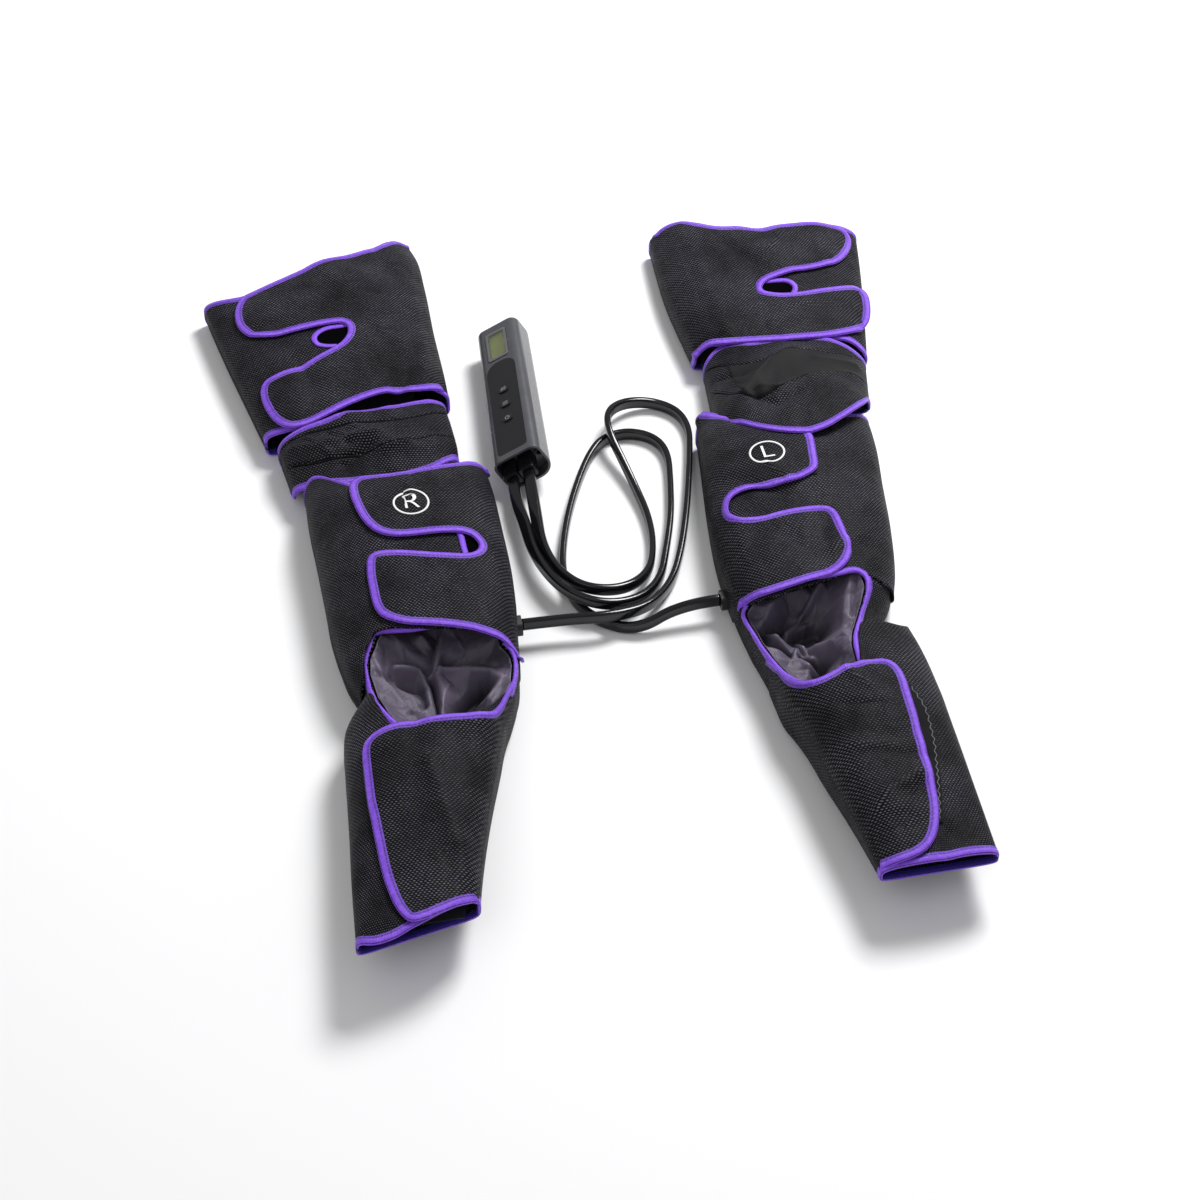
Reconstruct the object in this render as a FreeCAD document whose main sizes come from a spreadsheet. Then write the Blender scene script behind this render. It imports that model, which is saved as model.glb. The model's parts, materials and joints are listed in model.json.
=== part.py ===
"""Heated compression leg wrap: a pair of full-leg sleeves, two flat hoses and a hand controller.

The pair lies on its back, closed, as on a floor.  +Y runs from the toes to the thighs, +X from the right leg
to the left leg and +Z up.  The origin is on the floor at the middle of the pair.  Lengths are millimetres.
A leg is described by how far "out" a point is from the middle plane, so the same formulas make both legs.
"""
import FreeCAD, Part

import math
import os
import re

import Sketcher

Vector = FreeCAD.Vector

# Driving dimensions, one spreadsheet cell each
SIZES = {
    # Sleeves along the leg, from thigh to toe
    "thigh_length": 269.0,
    "thigh_top_width": 235.0,
    "thigh_knee_width": 192.0,
    "thigh_top_drop": 50.0,
    "thigh_depth": 48.0,
    "thigh_inner": 140.0,
    "knee_length": 94.0,
    "knee_top_width": 184.0,
    "knee_calf_width": 176.0,
    "knee_depth": 60.0,
    "knee_inner": 136.0,
    "calf_length": 278.0,
    "calf_top_width": 186.0,
    "calf_ankle_width": 163.0,
    "calf_depth": 72.0,
    "calf_top_inner_right": 107.0,
    "calf_top_inner_left": 125.0,
    "ankle_inner": 107.0,
    "heel_length": 115.0,
    "heel_rim": 56.0,
    "foot_length": 232.0,
    "foot_heel_width": 158.0,
    "foot_inner": 118.0,
    "toe_width": 107.0,
    "toe_depth": 36.0,
    "toe_lift": 32.0,
    "toe_inner_right": 191.0,
    "toe_inner_left": 159.0,
    # Cloth, tape and padding
    "cloth_wall": 3.0,
    "sole_press": 0.6,
    "tape_width": 9.0,
    "floor_corner": 14.0,
    "fold_corner": 9.0,
    "crown_corner": 19.0,
    "lining_wall": 1.6,
    "lining_drop": 6.0,
    "bladder_depth": 6.0,
    "bladder_margin": 16.0,
    "bladder_corner": 2.5,
    "heater_depth": 3.5,
    "heater_corner": 1.5,
    "seat_gap": 0.3,
    # Closing flaps
    "flap_thick": 4.0,
    "flap_tape_thick": 4.6,
    "flap_gap": 0.4,
    "flap_corner": 22.0,
    "slot_corner": 11.0,
    "flap_root_corner": 4.0,
    "thigh_flap_reach": 201.0,
    "calf_flap_reach": 120.0,
    "foot_flap_reach": 120.0,
    "patch_thick": 1.0,
    "patch_corner": 8.0,
    "thigh_patch_width": 56.0,
    "calf_patch_width": 46.0,
    "foot_patch_width": 36.0,
    # Hose entries on the calves
    "entry_out": 99.0,
    "entry_length": 20.0,
    "entry_height": 16.0,
    "entry_low": 13.0,
    "entry_round": 6.0,
    "entry_from_ankle": 33.0,
    "hose_width": 11.0,
    "hose_first_run": 34.0,
    "hose_last_run": 40.0,
    # Hand controller
    "case_length": 220.0,
    "case_width": 55.0,
    "case_top_width": 51.0,
    "case_depth": 44.0,
    "case_front_corner": 10.0,
    "case_back_corner": 19.0,
    "case_wall": 2.4,
    "case_end_round": 5.0,
    "case_out": 62.4,
    "case_near": 108.0,
    "case_roll": 30.0,
    "case_turn": 3.0,
    "plug_recess": 14.0,
    "end_wall": 3.0,
    "fit": 0.2,
    "panel_width": 35.0,
    "panel_thick": 1.2,
    "panel_end_corner": 4.0,
    "panel_top_corner": 15.0,
    "panel_from_end": 8.0,
    "panel_below_bezel": 5.0,
    "button_width": 12.0,
    "button_length": 9.0,
    "button_corner": 4.0,
    "button_stand": 1.4,
    "button_flange": 1.2,
    "button_flange_thick": 1.4,
    "button_travel": 1.0,
    "button_pitch": 23.5,
    "button_first": 59.0,
    "bezel_width": 25.0,
    "bezel_length": 46.0,
    "bezel_corner": 3.0,
    "bezel_frame": 3.0,
    "bezel_stand": 1.0,
    "bezel_from_top": 15.0,
    "window_thick": 1.4,
    "window_sink": 0.6,
    "board_low": 30.0,
    "board_thick": 1.6,
    "board_width": 40.0,
    "board_from_wall": 8.0,
    "dome_radius": 3.2,
    "post_radius": 4.0,
    "post_out": 15.0,
    "post_from_end": 42.0,
    "screw_radius": 1.5,
    "screw_head_radius": 2.8,
    "screw_head_depth": 3.0,
    "screw_length": 20.0,
    "motor_radius": 11.0,
    "motor_length": 46.0,
    "pump_head_width": 20.0,
    "pump_head_length": 26.0,
    "pump_from_wall": 62.0,
    "valve_width": 34.0,
    "valve_length": 18.0,
    "valve_height": 18.0,
    "plug_width": 17.0,
    "plug_height": 15.0,
    "plug_length": 24.0,
    "plug_round": 2.5,
    "plug_pitch": 19.0,
    "plug_shift": 5.0,
    "plug_groove": 1.0,
    "plug_groove_pitch": 3.0,
    "spigot_radius": 3.4,
    "spigot_length": 7.0,
    "jack_radius": 4.5,
    "jack_bore": 2.8,
    "jack_length": 12.0,
    "jack_out": 19.5,
    "overrun": 2.0,
}
PLUG_GROOVES = 3
BUTTON_NAMES = ("power", "mode", "heat")

# Stretch of a sleeve's length over which its bladder or heater lies
PADDING_SHARES = (0.1, 0.9)

# Free corners of each flap, from its low end to its high end: share of the flap's reach, share of the
# sleeve's length, and the size that rounds the corner
FLAP_SHARES = {
    "thigh": (
        (0.93, 0.03, "flap_corner"),
        (0.93, 0.27, "flap_corner"),
        (0.41, 0.34, "slot_corner"),
        (0.41, 0.46, "slot_corner"),
        (0.95, 0.45, "flap_corner"),
        (1.00, 0.77, "flap_corner"),
    ),
    "calf": (
        (0.90, 0.06, "flap_corner"),
        (1.00, 0.35, "flap_corner"),
        (0.16, 0.31, "slot_corner"),
        (0.16, 0.43, "slot_corner"),
        (0.88, 0.44, "flap_corner"),
        (1.00, 0.95, "flap_corner"),
    ),
    "foot": (
        (0.60, 0.03, "slot_corner"),
        (1.00, 0.95, "flap_corner"),
    ),
}
# Low and high end of each flap's root, as shares of the sleeve's length
ROOT_SHARES = {"thigh": (0.03, 0.95), "calf": (-0.09, 0.95), "foot": (0.03, 0.97)}
# Each loop patch's near edge as a share of the flap's reach, and its ends as shares of the sleeve's length
PATCH_SHARES = {"thigh": (0.58, 0.10, 0.72), "calf": (0.45, 0.10, 0.88), "foot": (0.42, 0.12, 0.86)}

# Free points of the two hoses, from the controller to the leg
HOSE_POINTS = {
    "right": (
        (-57, 32, 25), (-55, -10, 23), (-42, -48, 22), (-20, -70, 22), (14, -72, 19), (41, -50, 11),
        (52, -12, 6.5), (55, 32, 5.7), (50, 74, 7), (43, 114, 13), (34.5, 153, 21), (38.3, 184.4, 21),
        (60.6, 206.7, 13), (91.9, 209.4, 7), (117, 191, 5.7), (124, 160, 5.7), (116, 119, 5.7),
        (106, 75, 5.7), (94, 28, 5.7), (79, -22, 5.7), (60, -69, 7), (30, -105, 14), (-10, -119, 21.5),
    ),
    "left": (
        (-74, 32, 20), (-73, -12, 21.5), (-62, -54, 22), (-44, -84, 22), (-12, -102, 20), (24, -92, 13),
        (50, -62, 7), (64, -19, 5.7), (78, 28, 5.7), (87, 77, 5.7), (94, 125, 5.7), (84, 152, 5.7),
        (59, 166, 5.7), (31, 161, 5.7), (12.5, 139, 5.7), (-6, 101, 5.7), (-23, 58, 5.7), (-37, 12, 5.7),
        (-46, -34, 5.7), (-42, -76, 5.7), (-22, -108, 5.7), (14, -128, 6.5),
    ),
}
ARC_REACH_SHARE = 0.45

doc = FreeCAD.newDocument("leg_wrap")
sheet = doc.addObject("Spreadsheet::Sheet", "Sizes")
for row, (alias, value) in enumerate(SIZES.items(), start=1):
    sheet.set(f"A{row}", alias)
    sheet.set(f"B{row}", str(value))
    sheet.setAlias(f"B{row}", alias)
doc.recompute()

nodes = []


# Helpers: expressions, sketches, solids

def linked(formula):
    """Write a formula of size names as an expression that reads the sheet's cells."""
    def cell(match):
        word = match.group(0)
        return f"Sizes.{word}" if word in SIZES else word
    return re.sub(r"[a-z_]+", cell, formula)


def size(formula):
    """Give the value of a formula of size names, in millimetres."""
    return float(sheet.evalExpression(linked(formula)))


def between(low, high, share):
    """Formula of the value that lies a share of the way from low to high."""
    return f"(({low}) * (1 - ({share})) + ({high}) * ({share}))"


def bind(item, **properties):
    """Bind an object's properties to formulas of size names."""
    for name, formula in properties.items():
        item.setExpression(name.replace("__", "."), linked(formula))
    return item


def bind_base(item, x, y, z):
    """Bind the place of an object to three formulas."""
    for axis, formula in zip("xyz", (x, y, z)):
        item.setExpression(f"Placement.Base.{axis}", linked(formula))
    return item


def rounded_outline(name, corners):
    """Closed sketch of straight sides and tangent arcs; each corner is (x, y, radius), all formulas."""
    sketch = doc.addObject("Sketcher::SketchObject", name)
    points = [Vector(size(x), size(y), 0) for x, y, _ in corners]
    radii = [size(radius) for _, _, radius in corners]
    count = len(points)
    ends = []
    for index, point in enumerate(points):
        back = (points[index - 1] - point).normalize()
        ahead = (points[(index + 1) % count] - point).normalize()
        half = math.acos(back.dot(ahead)) / 2
        bisector = (back + ahead).normalize()
        reach = radii[index] / math.tan(half)
        middle = point + bisector * (radii[index] / math.sin(half) - radii[index])
        ends.append((point + back * reach, middle, point + ahead * reach))
    geometry = [Part.LineSegment(ends[i][2], ends[(i + 1) % count][0]) for i in range(count)]
    geometry += [Part.Arc(*end) for end in ends]
    sketch.addGeometry(geometry, False)
    sketch.addGeometry([Part.Point(point) for point in points], True)
    constraints = []
    bound = []
    for index, (x, y, radius) in enumerate(corners):
        line_in = (index - 1) % count
        arc = count + index
        corner = 2 * count + index
        starts_in = sketch.getPoint(arc, 1).distanceToPoint(ends[index][0]) < radii[index] / count
        first, last = (1, 2) if starts_in else (2, 1)
        constraints.append(Sketcher.Constraint("Tangent", line_in, 2, arc, first))
        constraints.append(Sketcher.Constraint("Tangent", arc, last, index, 1))
        constraints.append(Sketcher.Constraint("PointOnObject", corner, 1, line_in))
        constraints.append(Sketcher.Constraint("PointOnObject", corner, 1, index))
        bound.append((len(constraints), radius))
        constraints.append(Sketcher.Constraint("Radius", arc, radii[index]))
        bound.append((len(constraints), x))
        constraints.append(Sketcher.Constraint("DistanceX", -1, 1, corner, 1, points[index].x))
        bound.append((len(constraints), y))
        constraints.append(Sketcher.Constraint("DistanceY", -1, 1, corner, 1, points[index].y))
    sketch.addConstraint(constraints)
    for number, formula in bound:
        sketch.setExpression(f"Constraints[{number}]", linked(formula))
    return sketch


def rectangle(name, low_x, high_x, low_y, high_y, radii):
    """Rounded rectangle sketch; radii are those of the corners from low x, low y, anticlockwise."""
    places = ((low_x, low_y), (high_x, low_y), (high_x, high_y), (low_x, high_y))
    return rounded_outline(name, [(x, y, radius) for (x, y), radius in zip(places, radii)])


def loft(name, sections):
    """Straight-sided solid through sketches."""
    item = doc.addObject("Part::Loft", name)
    item.Sections = sections
    item.Solid = True
    item.Ruled = True
    return item


def prism(name, sketch, height):
    """Solid on a flat sketch, along the sketch's normal."""
    item = doc.addObject("Part::Extrusion", name)
    item.Base = sketch
    item.DirMode = "Normal"
    item.Solid = True
    return bind(item, LengthFwd=height)


def block(name, x, y, z):
    """Box between (low, high) formulas along each axis."""
    item = doc.addObject("Part::Box", name)
    bind(item, Length=f"({x[1]}) - ({x[0]})", Width=f"({y[1]}) - ({y[0]})", Height=f"({z[1]}) - ({z[0]})")
    return bind_base(item, x[0], y[0], z[0])


def rod(name, base, radius, height, along="z"):
    """Cylinder on a base point, along +Y or +Z."""
    item = doc.addObject("Part::Cylinder", name)
    bind(item, Radius=radius, Height=height)
    if along == "y":
        item.Placement = FreeCAD.Placement(Vector(), FreeCAD.Rotation(Vector(1, 0, 0), -90))
    return bind_base(item, *base)


def fuse(name, *items):
    """One solid from several."""
    item = doc.addObject("Part::MultiFuse", name)
    item.Shapes = list(items)
    item.Refine = True
    return item


def cut(name, base, *tools):
    """A solid with others taken out of it."""
    item = doc.addObject("Part::Cut", name)
    item.Base = base
    item.Tool = tools[0] if len(tools) == 1 else fuse(f"{name}_tools", *tools)
    return item


def common(name, base, tool):
    """What two solids share."""
    item = doc.addObject("Part::Common", name)
    item.Base = base
    item.Tool = tool
    return item


def node(label, *items, place=None):
    """A sub-part: one object that holds its solids and carries its place."""
    item = doc.addObject("Part::Compound", label)
    item.Links = list(items)
    item.Label = label
    if place is not None:
        item.Placement = place
    nodes.append(item)
    return item


# The leg's stations, as formulas

LEG_LENGTH = "(thigh_length + knee_length + calf_length + heel_length + foot_length)"
TOE_Y = f"(-{LEG_LENGTH} / 2)"
HEEL_Y = f"({TOE_Y} + foot_length)"
ANKLE_Y = f"({HEEL_Y} + heel_length)"
CALF_TOP_Y = f"({ANKLE_Y} + calf_length)"
KNEE_TOP_Y = f"({CALF_TOP_Y} + knee_length)"
THIGH_TOP_Y = f"({KNEE_TOP_Y} + thigh_length)"


def sleeve(length, ends):
    """Describe a sleeve by its length and its two ends: inner, outer, y at each of them, low and high."""
    return {"length": length, "ends": ends}


def leg_sleeves(side):
    """The five sleeves of one leg, each from its toe end to its thigh end."""
    calf_top_inner = f"calf_top_inner_{side}"
    toe_inner = f"toe_inner_{side}"
    ankle = ("ankle_inner", "ankle_inner + calf_ankle_width")
    heel = ("foot_inner", "foot_inner + foot_heel_width")
    calf_top = (calf_top_inner, f"{calf_top_inner} + calf_top_width")
    knee_low = ("knee_inner", "knee_inner + knee_calf_width")
    knee_top = ("knee_inner", "knee_inner + knee_top_width")
    thigh_low = ("thigh_inner", "thigh_inner + thigh_knee_width")
    thigh_top = ("thigh_inner", "thigh_inner + thigh_top_width")
    toe = (toe_inner, f"{toe_inner} + toe_width")
    return {
        "foot": sleeve("foot_length", (
            (*toe, TOE_Y, TOE_Y, "toe_lift", "toe_lift + toe_depth"),
            (*heel, HEEL_Y, HEEL_Y, "0", "calf_depth"),
        )),
        "heel": sleeve("heel_length", (
            (*heel, HEEL_Y, HEEL_Y, "0", "calf_depth"),
            (*ankle, ANKLE_Y, ANKLE_Y, "0", "calf_depth"),
        )),
        "calf": sleeve("calf_length", (
            (*ankle, ANKLE_Y, ANKLE_Y, "0", "calf_depth"),
            (*calf_top, CALF_TOP_Y, CALF_TOP_Y, "0", "calf_depth"),
        )),
        "knee": sleeve("knee_length", (
            (*knee_low, CALF_TOP_Y, CALF_TOP_Y, "0", "knee_depth"),
            (*knee_top, KNEE_TOP_Y, KNEE_TOP_Y, "0", "knee_depth"),
        )),
        "thigh": sleeve("thigh_length", (
            (*thigh_low, KNEE_TOP_Y, KNEE_TOP_Y, "0", "thigh_depth"),
            (*thigh_top, THIGH_TOP_Y, f"{THIGH_TOP_Y} - thigh_top_drop", "0", "thigh_depth"),
        )),
    }


def station(piece, share):
    """Inner, outer, their two y, low and high of a sleeve, a share of the way along it."""
    return [between(low, high, share) for low, high in zip(*piece["ends"])]


# Sleeves, their tape rings and their padding

def upright(base, across):
    """Place of a section sketch: its X runs across the leg and its Y runs up."""
    up = Vector(0, 0, 1)
    return FreeCAD.Placement(base, FreeCAD.Rotation(across, up, across.cross(up), "XYZ"))


def section(name, sign, piece, share, inset, low=None, high=None, radii=None):
    """Rounded cross-section of a sleeve, drawn in from its sides, top and floor by an inset."""
    inner, outer, inner_y, outer_y, floor, top = station(piece, share)
    width = f"sqrt((({outer}) - ({inner}))^2 + (({outer_y}) - ({inner_y}))^2)"
    low = f"({floor}) + {low}" if low else f"({floor}) + {inset}"
    high = f"({floor}) + {high}" if high else f"({top}) - ({inset})"
    rounds = ("floor_corner", "floor_corner", "crown_corner", "fold_corner")
    radii = radii or [f"{radius} - ({inset})" for radius in rounds]
    sketch = rectangle(name, inset, f"{width} - ({inset})", low, high, radii)
    base = Vector(sign * size(inner), size(inner_y), 0)
    far = Vector(sign * size(outer), size(outer_y), 0)
    sketch.Placement = upright(base, (far - base).normalize())
    return sketch


def solid_sleeve(name, sign, piece, shares, inset, **limits):
    """Solid between two cross-sections of a sleeve."""
    sketches = [section(f"{name}_{index}", sign, piece, share, inset, **limits)
                for index, share in enumerate(shares)]
    return loft(f"{name}_loft", sketches)


def slab(name, low, high):
    """Everything between two heights, as wide and long as the pair."""
    return block(name, (f"-{LEG_LENGTH}", LEG_LENGTH), (f"-{LEG_LENGTH}", LEG_LENGTH), (low, high))


def tube(name, sign, piece, shares, inset, wall):
    """Hollow stretch of a sleeve."""
    outside = solid_sleeve(f"{name}_outside", sign, piece, shares, inset)
    inside = solid_sleeve(f"{name}_inside", sign, piece, shares, f"{inset} + {wall}")
    return cut(f"{name}_tube", outside, inside)


def resting_tube(name, sign, piece, shares):
    """Hollow stretch of a sleeve whose underside is pressed flat by the floor."""
    outside = solid_sleeve(f"{name}_outside", sign, piece, shares, "0", low="(-sole_press)")
    pressed = common(f"{name}_pressed", outside, slab(f"{name}_above_floor", "0", LEG_LENGTH))
    inside = solid_sleeve(f"{name}_inside", sign, piece, shares, "cloth_wall")
    return cut(f"{name}_tube", pressed, inside)


def padding(name, sign, piece, depth, corner):
    """Flat pad that lies on the floor of a sleeve."""
    low = "cloth_wall + seat_gap"
    return solid_sleeve(name, sign, piece, PADDING_SHARES, "cloth_wall + bladder_margin",
                        low=f"({low})", high=f"({low} + {depth})", radii=[corner] * 4)


def make_sleeve(side, sign, name, piece):
    """A sleeve with a ring of binding tape at each end."""
    tape_share = f"tape_width / {piece['length']}"
    label = f"{name}_{side}"
    body = resting_tube(label, sign, piece, (tape_share, f"1 - {tape_share}"))
    low_ring = resting_tube(f"{label}_low_ring", sign, piece, ("0", tape_share))
    high_ring = resting_tube(f"{label}_high_ring", sign, piece, (f"1 - {tape_share}", "1"))
    node(f"{name}_sleeve_{side}", body)
    node(f"{name}_tape_{side}", low_ring, high_ring)


def make_heel(side, sign, piece):
    """Heel cup, open over the instep, with its tape rim and its lining."""
    label = f"heel_{side}"
    shell = resting_tube(label, sign, piece, ("0", "1"))
    cup = common(f"{label}_cup", shell, slab(f"{label}_below", "-overrun", "heel_rim - tape_width"))
    rim = common(f"{label}_rim", shell, slab(f"{label}_band", "heel_rim - tape_width", "heel_rim"))
    lining = tube(f"{label}_lining", sign, piece, ("0", "1"), "cloth_wall + seat_gap", "lining_wall")
    low_lining = common(f"{label}_low_lining", lining,
                        slab(f"{label}_lining_below", "-overrun", "heel_rim - lining_drop"))
    node(f"heel_cup_{side}", cup)
    node(f"heel_tape_{side}", rim)
    node(f"ankle_lining_{side}", low_lining)


# Closing flaps and their loop patches

def flap_place(sign, piece, lift):
    """Place of a flap: its X runs outward from its root, its Y along the root, its Z off the sleeve."""
    ends = []
    for share in ("0", "1"):
        inner, _, inner_y, _, _, top = station(piece, share)
        ends.append(Vector(sign * size(f"{inner} + fold_corner"), size(inner_y), size(top)))
    along = (ends[1] - ends[0]).normalize()
    off = Vector(1, 0, 0).cross(along).normalize()
    return FreeCAD.Placement(ends[0] + off * lift, FreeCAD.Rotation(along.cross(off), along, off, "XYZ"))


def flap_outline(name, label, sign, piece):
    """Outline of a flap, whose root edge stands back by a tape's width."""
    reach = f"{name}_flap_reach"
    root_low, root_high = ROOT_SHARES[name]
    length = piece["length"]
    corners = [(f"{-sign} * tape_width", f"{root_low} * {length}", "flap_root_corner")]
    corners += [(f"{sign * u} * {reach}", f"{v} * {length}", radius) for u, v, radius in FLAP_SHARES[name]]
    corners += [(f"{-sign} * tape_width", f"{root_high} * {length}", "flap_root_corner")]
    return rounded_outline(label, corners)


def make_flap(side, sign, name, piece):
    """A closing flap: a panel with a rounded root, the tape round its free edges, and its loop patch."""
    label = f"{name}_flap_{side}"
    lift = size("patch_thick + flap_gap")
    place = flap_place(sign, piece, lift)
    outline = flap_outline(name, f"{label}_outline", sign, piece)
    doc.recompute()
    thick = size("flap_thick")
    inner_wire = outline.Shape.Wires[0].makeOffset2D(-size("tape_width"), 0, False, False)
    root = [edge for edge in inner_wire.Edges if abs(edge.BoundBox.XMin) + abs(edge.BoundBox.XMax) < thick]
    root_low = min(edge.BoundBox.YMin for edge in root)
    root_high = max(edge.BoundBox.YMax for edge in root)
    panel = doc.addObject("Part::Feature", f"{label}_panel")
    panel.Shape = Part.Face(inner_wire).extrude(Vector(0, 0, thick))
    bead = doc.addObject("Part::Feature", f"{label}_bead")
    bead.Shape = Part.makeCylinder(thick / 2, root_high - root_low, Vector(0, root_low, thick / 2),
                                   Vector(0, 1, 0))
    core = doc.addObject("Part::Feature", f"{label}_core")
    core.Shape = Part.Face(inner_wire).extrude(Vector(0, 0, size("flap_tape_thick + overrun")))
    band = prism(f"{label}_band", outline, "flap_tape_thick")
    length = piece["length"]
    behind = ("-2 * tape_width", "0") if sign > 0 else ("0", "2 * tape_width")
    back = block(f"{label}_back", behind, (f"-{length}", f"2 * {length}"),
                 ("-overrun", "flap_tape_thick + overrun"))
    node(label, fuse(f"{label}_whole", panel, bead), place=place)
    node(f"{name}_flap_tape_{side}", cut(f"{label}_edge", band, core, back, bead), place=place)


def loop_patch(side, sign, name, piece):
    """Loop patch on the sleeve, under the flap's free end."""
    near, low, high = PATCH_SHARES[name]
    length = piece["length"]
    edge = f"{sign * near} * {name}_flap_reach"
    far_edge = f"{edge} + {sign} * {name}_patch_width"
    low_x, high_x = (edge, far_edge) if sign > 0 else (far_edge, edge)
    sketch = rectangle(f"{name}_patch_{side}_outline", low_x, high_x, f"{low} * {length}",
                       f"{high} * {length}", ["patch_corner"] * 4)
    patch = prism(f"{name}_patch_{side}", sketch, "patch_thick")
    holder = doc.addObject("Part::Compound", f"{name}_patch_{side}_placed")
    holder.Links = [patch]
    holder.Placement = flap_place(sign, piece, 0)
    return holder


def make_entry(side, sign, calf):
    """Rubber block on the inner side of the calf where the hose goes in."""
    label = f"hose_entry_{side}"
    middle = f"({ANKLE_Y} + entry_from_ankle)"
    inner = station(calf, "entry_from_ankle / calf_length")[0]
    far = f"({inner}) + floor_corner"
    low_x, high_x = ("entry_out", far) if sign > 0 else (f"-({far})", "-entry_out")
    sketch = rectangle(f"{label}_outline", f"{middle} - entry_length / 2", f"{middle} + entry_length / 2",
                       "entry_low", "entry_low + entry_height", ["entry_round"] * 4)
    sketch.Placement = FreeCAD.Placement(Vector(size(low_x), 0, 0), FreeCAD.Rotation(
        Vector(0, 1, 0), Vector(0, 0, 1), Vector(1, 0, 0), "XYZ"))
    body = prism(f"{label}_body", sketch, f"({high_x}) - ({low_x})")
    leg = solid_sleeve(f"{label}_leg", sign, calf, ("0", "1"), "0", low="(-sole_press)")
    node(label, cut(f"{label}_seated", body, leg))


def make_leg(side, sign):
    """All sub-parts of one leg."""
    pieces = leg_sleeves(side)
    for name in ("thigh", "knee", "calf", "foot"):
        make_sleeve(side, sign, name, pieces[name])
    make_heel(side, sign, pieces["heel"])
    for name in ("thigh", "calf", "foot"):
        make_flap(side, sign, name, pieces[name])
    node(f"loop_patches_{side}", *[loop_patch(side, sign, name, pieces[name]) for name in FLAP_SHARES])
    bladders = [padding(f"{name}_bladder_{side}", sign, pieces[name], "bladder_depth", "bladder_corner")
                for name in FLAP_SHARES]
    node(f"air_bladders_{side}", *bladders)
    heater = padding(f"heater_{side}", sign, pieces["knee"], "heater_depth", "heater_corner")
    node(f"knee_heater_{side}", heater)
    make_entry(side, sign, pieces["calf"])


# Hand controller, in its own frame: X across its face, Y from the plugs to its top, Z out of its face

CASE_FRONT = "(case_depth / 2)"
CASE_BACK = "(-case_depth / 2)"
INNER_FRONT = f"({CASE_FRONT} - case_wall)"
INNER_BACK = f"({CASE_BACK} + case_wall)"
CAVITY_Y = "(plug_recess + end_wall)"
BOARD_LOW = f"({CASE_BACK} + board_low)"
BOARD_TOP = f"({BOARD_LOW} + board_thick)"
BEZEL_Y = "(case_length - bezel_from_top - bezel_length)"
PANEL_TOP = f"({BEZEL_Y} - panel_below_bezel)"
POST_SPAN = "(case_length - 2 * post_from_end)"
BUTTON_LOW = f"({INNER_FRONT} - fit - button_flange_thick)"
PLUG_IN_Y = "(plug_recess - fit)"


def case_place():
    """Place of the controller: turned on the floor and rolled about its length, on the edge of its back."""
    roll = math.radians(size("case_roll"))
    beside = size("case_width / 2 - case_back_corner")
    above = size("case_depth / 2 - case_back_corner")
    height = beside * math.sin(roll) + above * math.cos(roll) + size("case_back_corner")
    base = Vector(-size("case_out"), size("case_near"), height)
    rolled = FreeCAD.Rotation(Vector(0, 1, 0), -size("case_roll"))
    turned = FreeCAD.Rotation(Vector(0, 0, 1), -size("case_turn"))
    return FreeCAD.Placement(base, turned.multiply(rolled))


def case_solid(name, low_y, high_y, inset):
    """Solid of the case between two stations, drawn in by an inset."""
    sketches = []
    for index, y in enumerate((low_y, high_y)):
        half = f"({between('case_width', 'case_top_width', f'({y}) / case_length')} / 2 - {inset})"
        back, front = f"case_back_corner - {inset}", f"case_front_corner - {inset}"
        sketch = rectangle(f"{name}_{index}", f"-{half}", half, f"{CASE_BACK} + {inset}",
                           f"{CASE_FRONT} - {inset}", (back, back, front, front))
        sketch.Placement = upright(Vector(0, size(y), 0), Vector(1, 0, 0))
        sketches.append(sketch)
    return loft(name, sketches)


def face_prism(name, half_width, low_y, high_y, low_z, high_z, radii):
    """Rounded plate or hole parallel to the controller's face, centred across it."""
    sketch = rectangle(f"{name}_outline", f"-({half_width})", half_width, low_y, high_y, radii)
    bind_base(sketch, "0", "0", low_z)
    return prism(name, sketch, f"({high_z}) - ({low_z})")


def button_prism(name, index, margin, low_z, high_z):
    """Rounded block round a button's middle, larger than the button's cap by a margin."""
    middle = f"(button_first + {index} * button_pitch)"
    half = f"(button_length / 2 + {margin})"
    return face_prism(name, f"button_width / 2 + {margin}", f"{middle} - {half}", f"{middle} + {half}",
                      low_z, high_z, [f"button_corner + {margin}"] * 4)


def key_plate(name, margin, low_z, high_z):
    """Key panel's outline, or its recess with a margin."""
    ends, tops = f"panel_end_corner + {margin}", f"panel_top_corner + {margin}"
    return face_prism(name, f"panel_width / 2 + {margin}", f"panel_from_end - {margin}",
                      f"{PANEL_TOP} + {margin}", low_z, high_z, (ends, ends, tops, tops))


def bezel_prism(name, margin, low_z, high_z):
    """Display bezel's outline, grown or drawn in by a margin."""
    return face_prism(name, f"bezel_width / 2 + ({margin})", f"{BEZEL_Y} - ({margin})",
                      f"{BEZEL_Y} + bezel_length + ({margin})", low_z, high_z,
                      [f"max(bezel_corner + ({margin}); bezel_corner / 4)"] * 4)


def plug_x(index):
    """Middle of a plug across the controller: 0 for the right leg's hose, 1 for the left leg's."""
    return f"(-plug_shift + {0.5 - index} * plug_pitch)"


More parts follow.
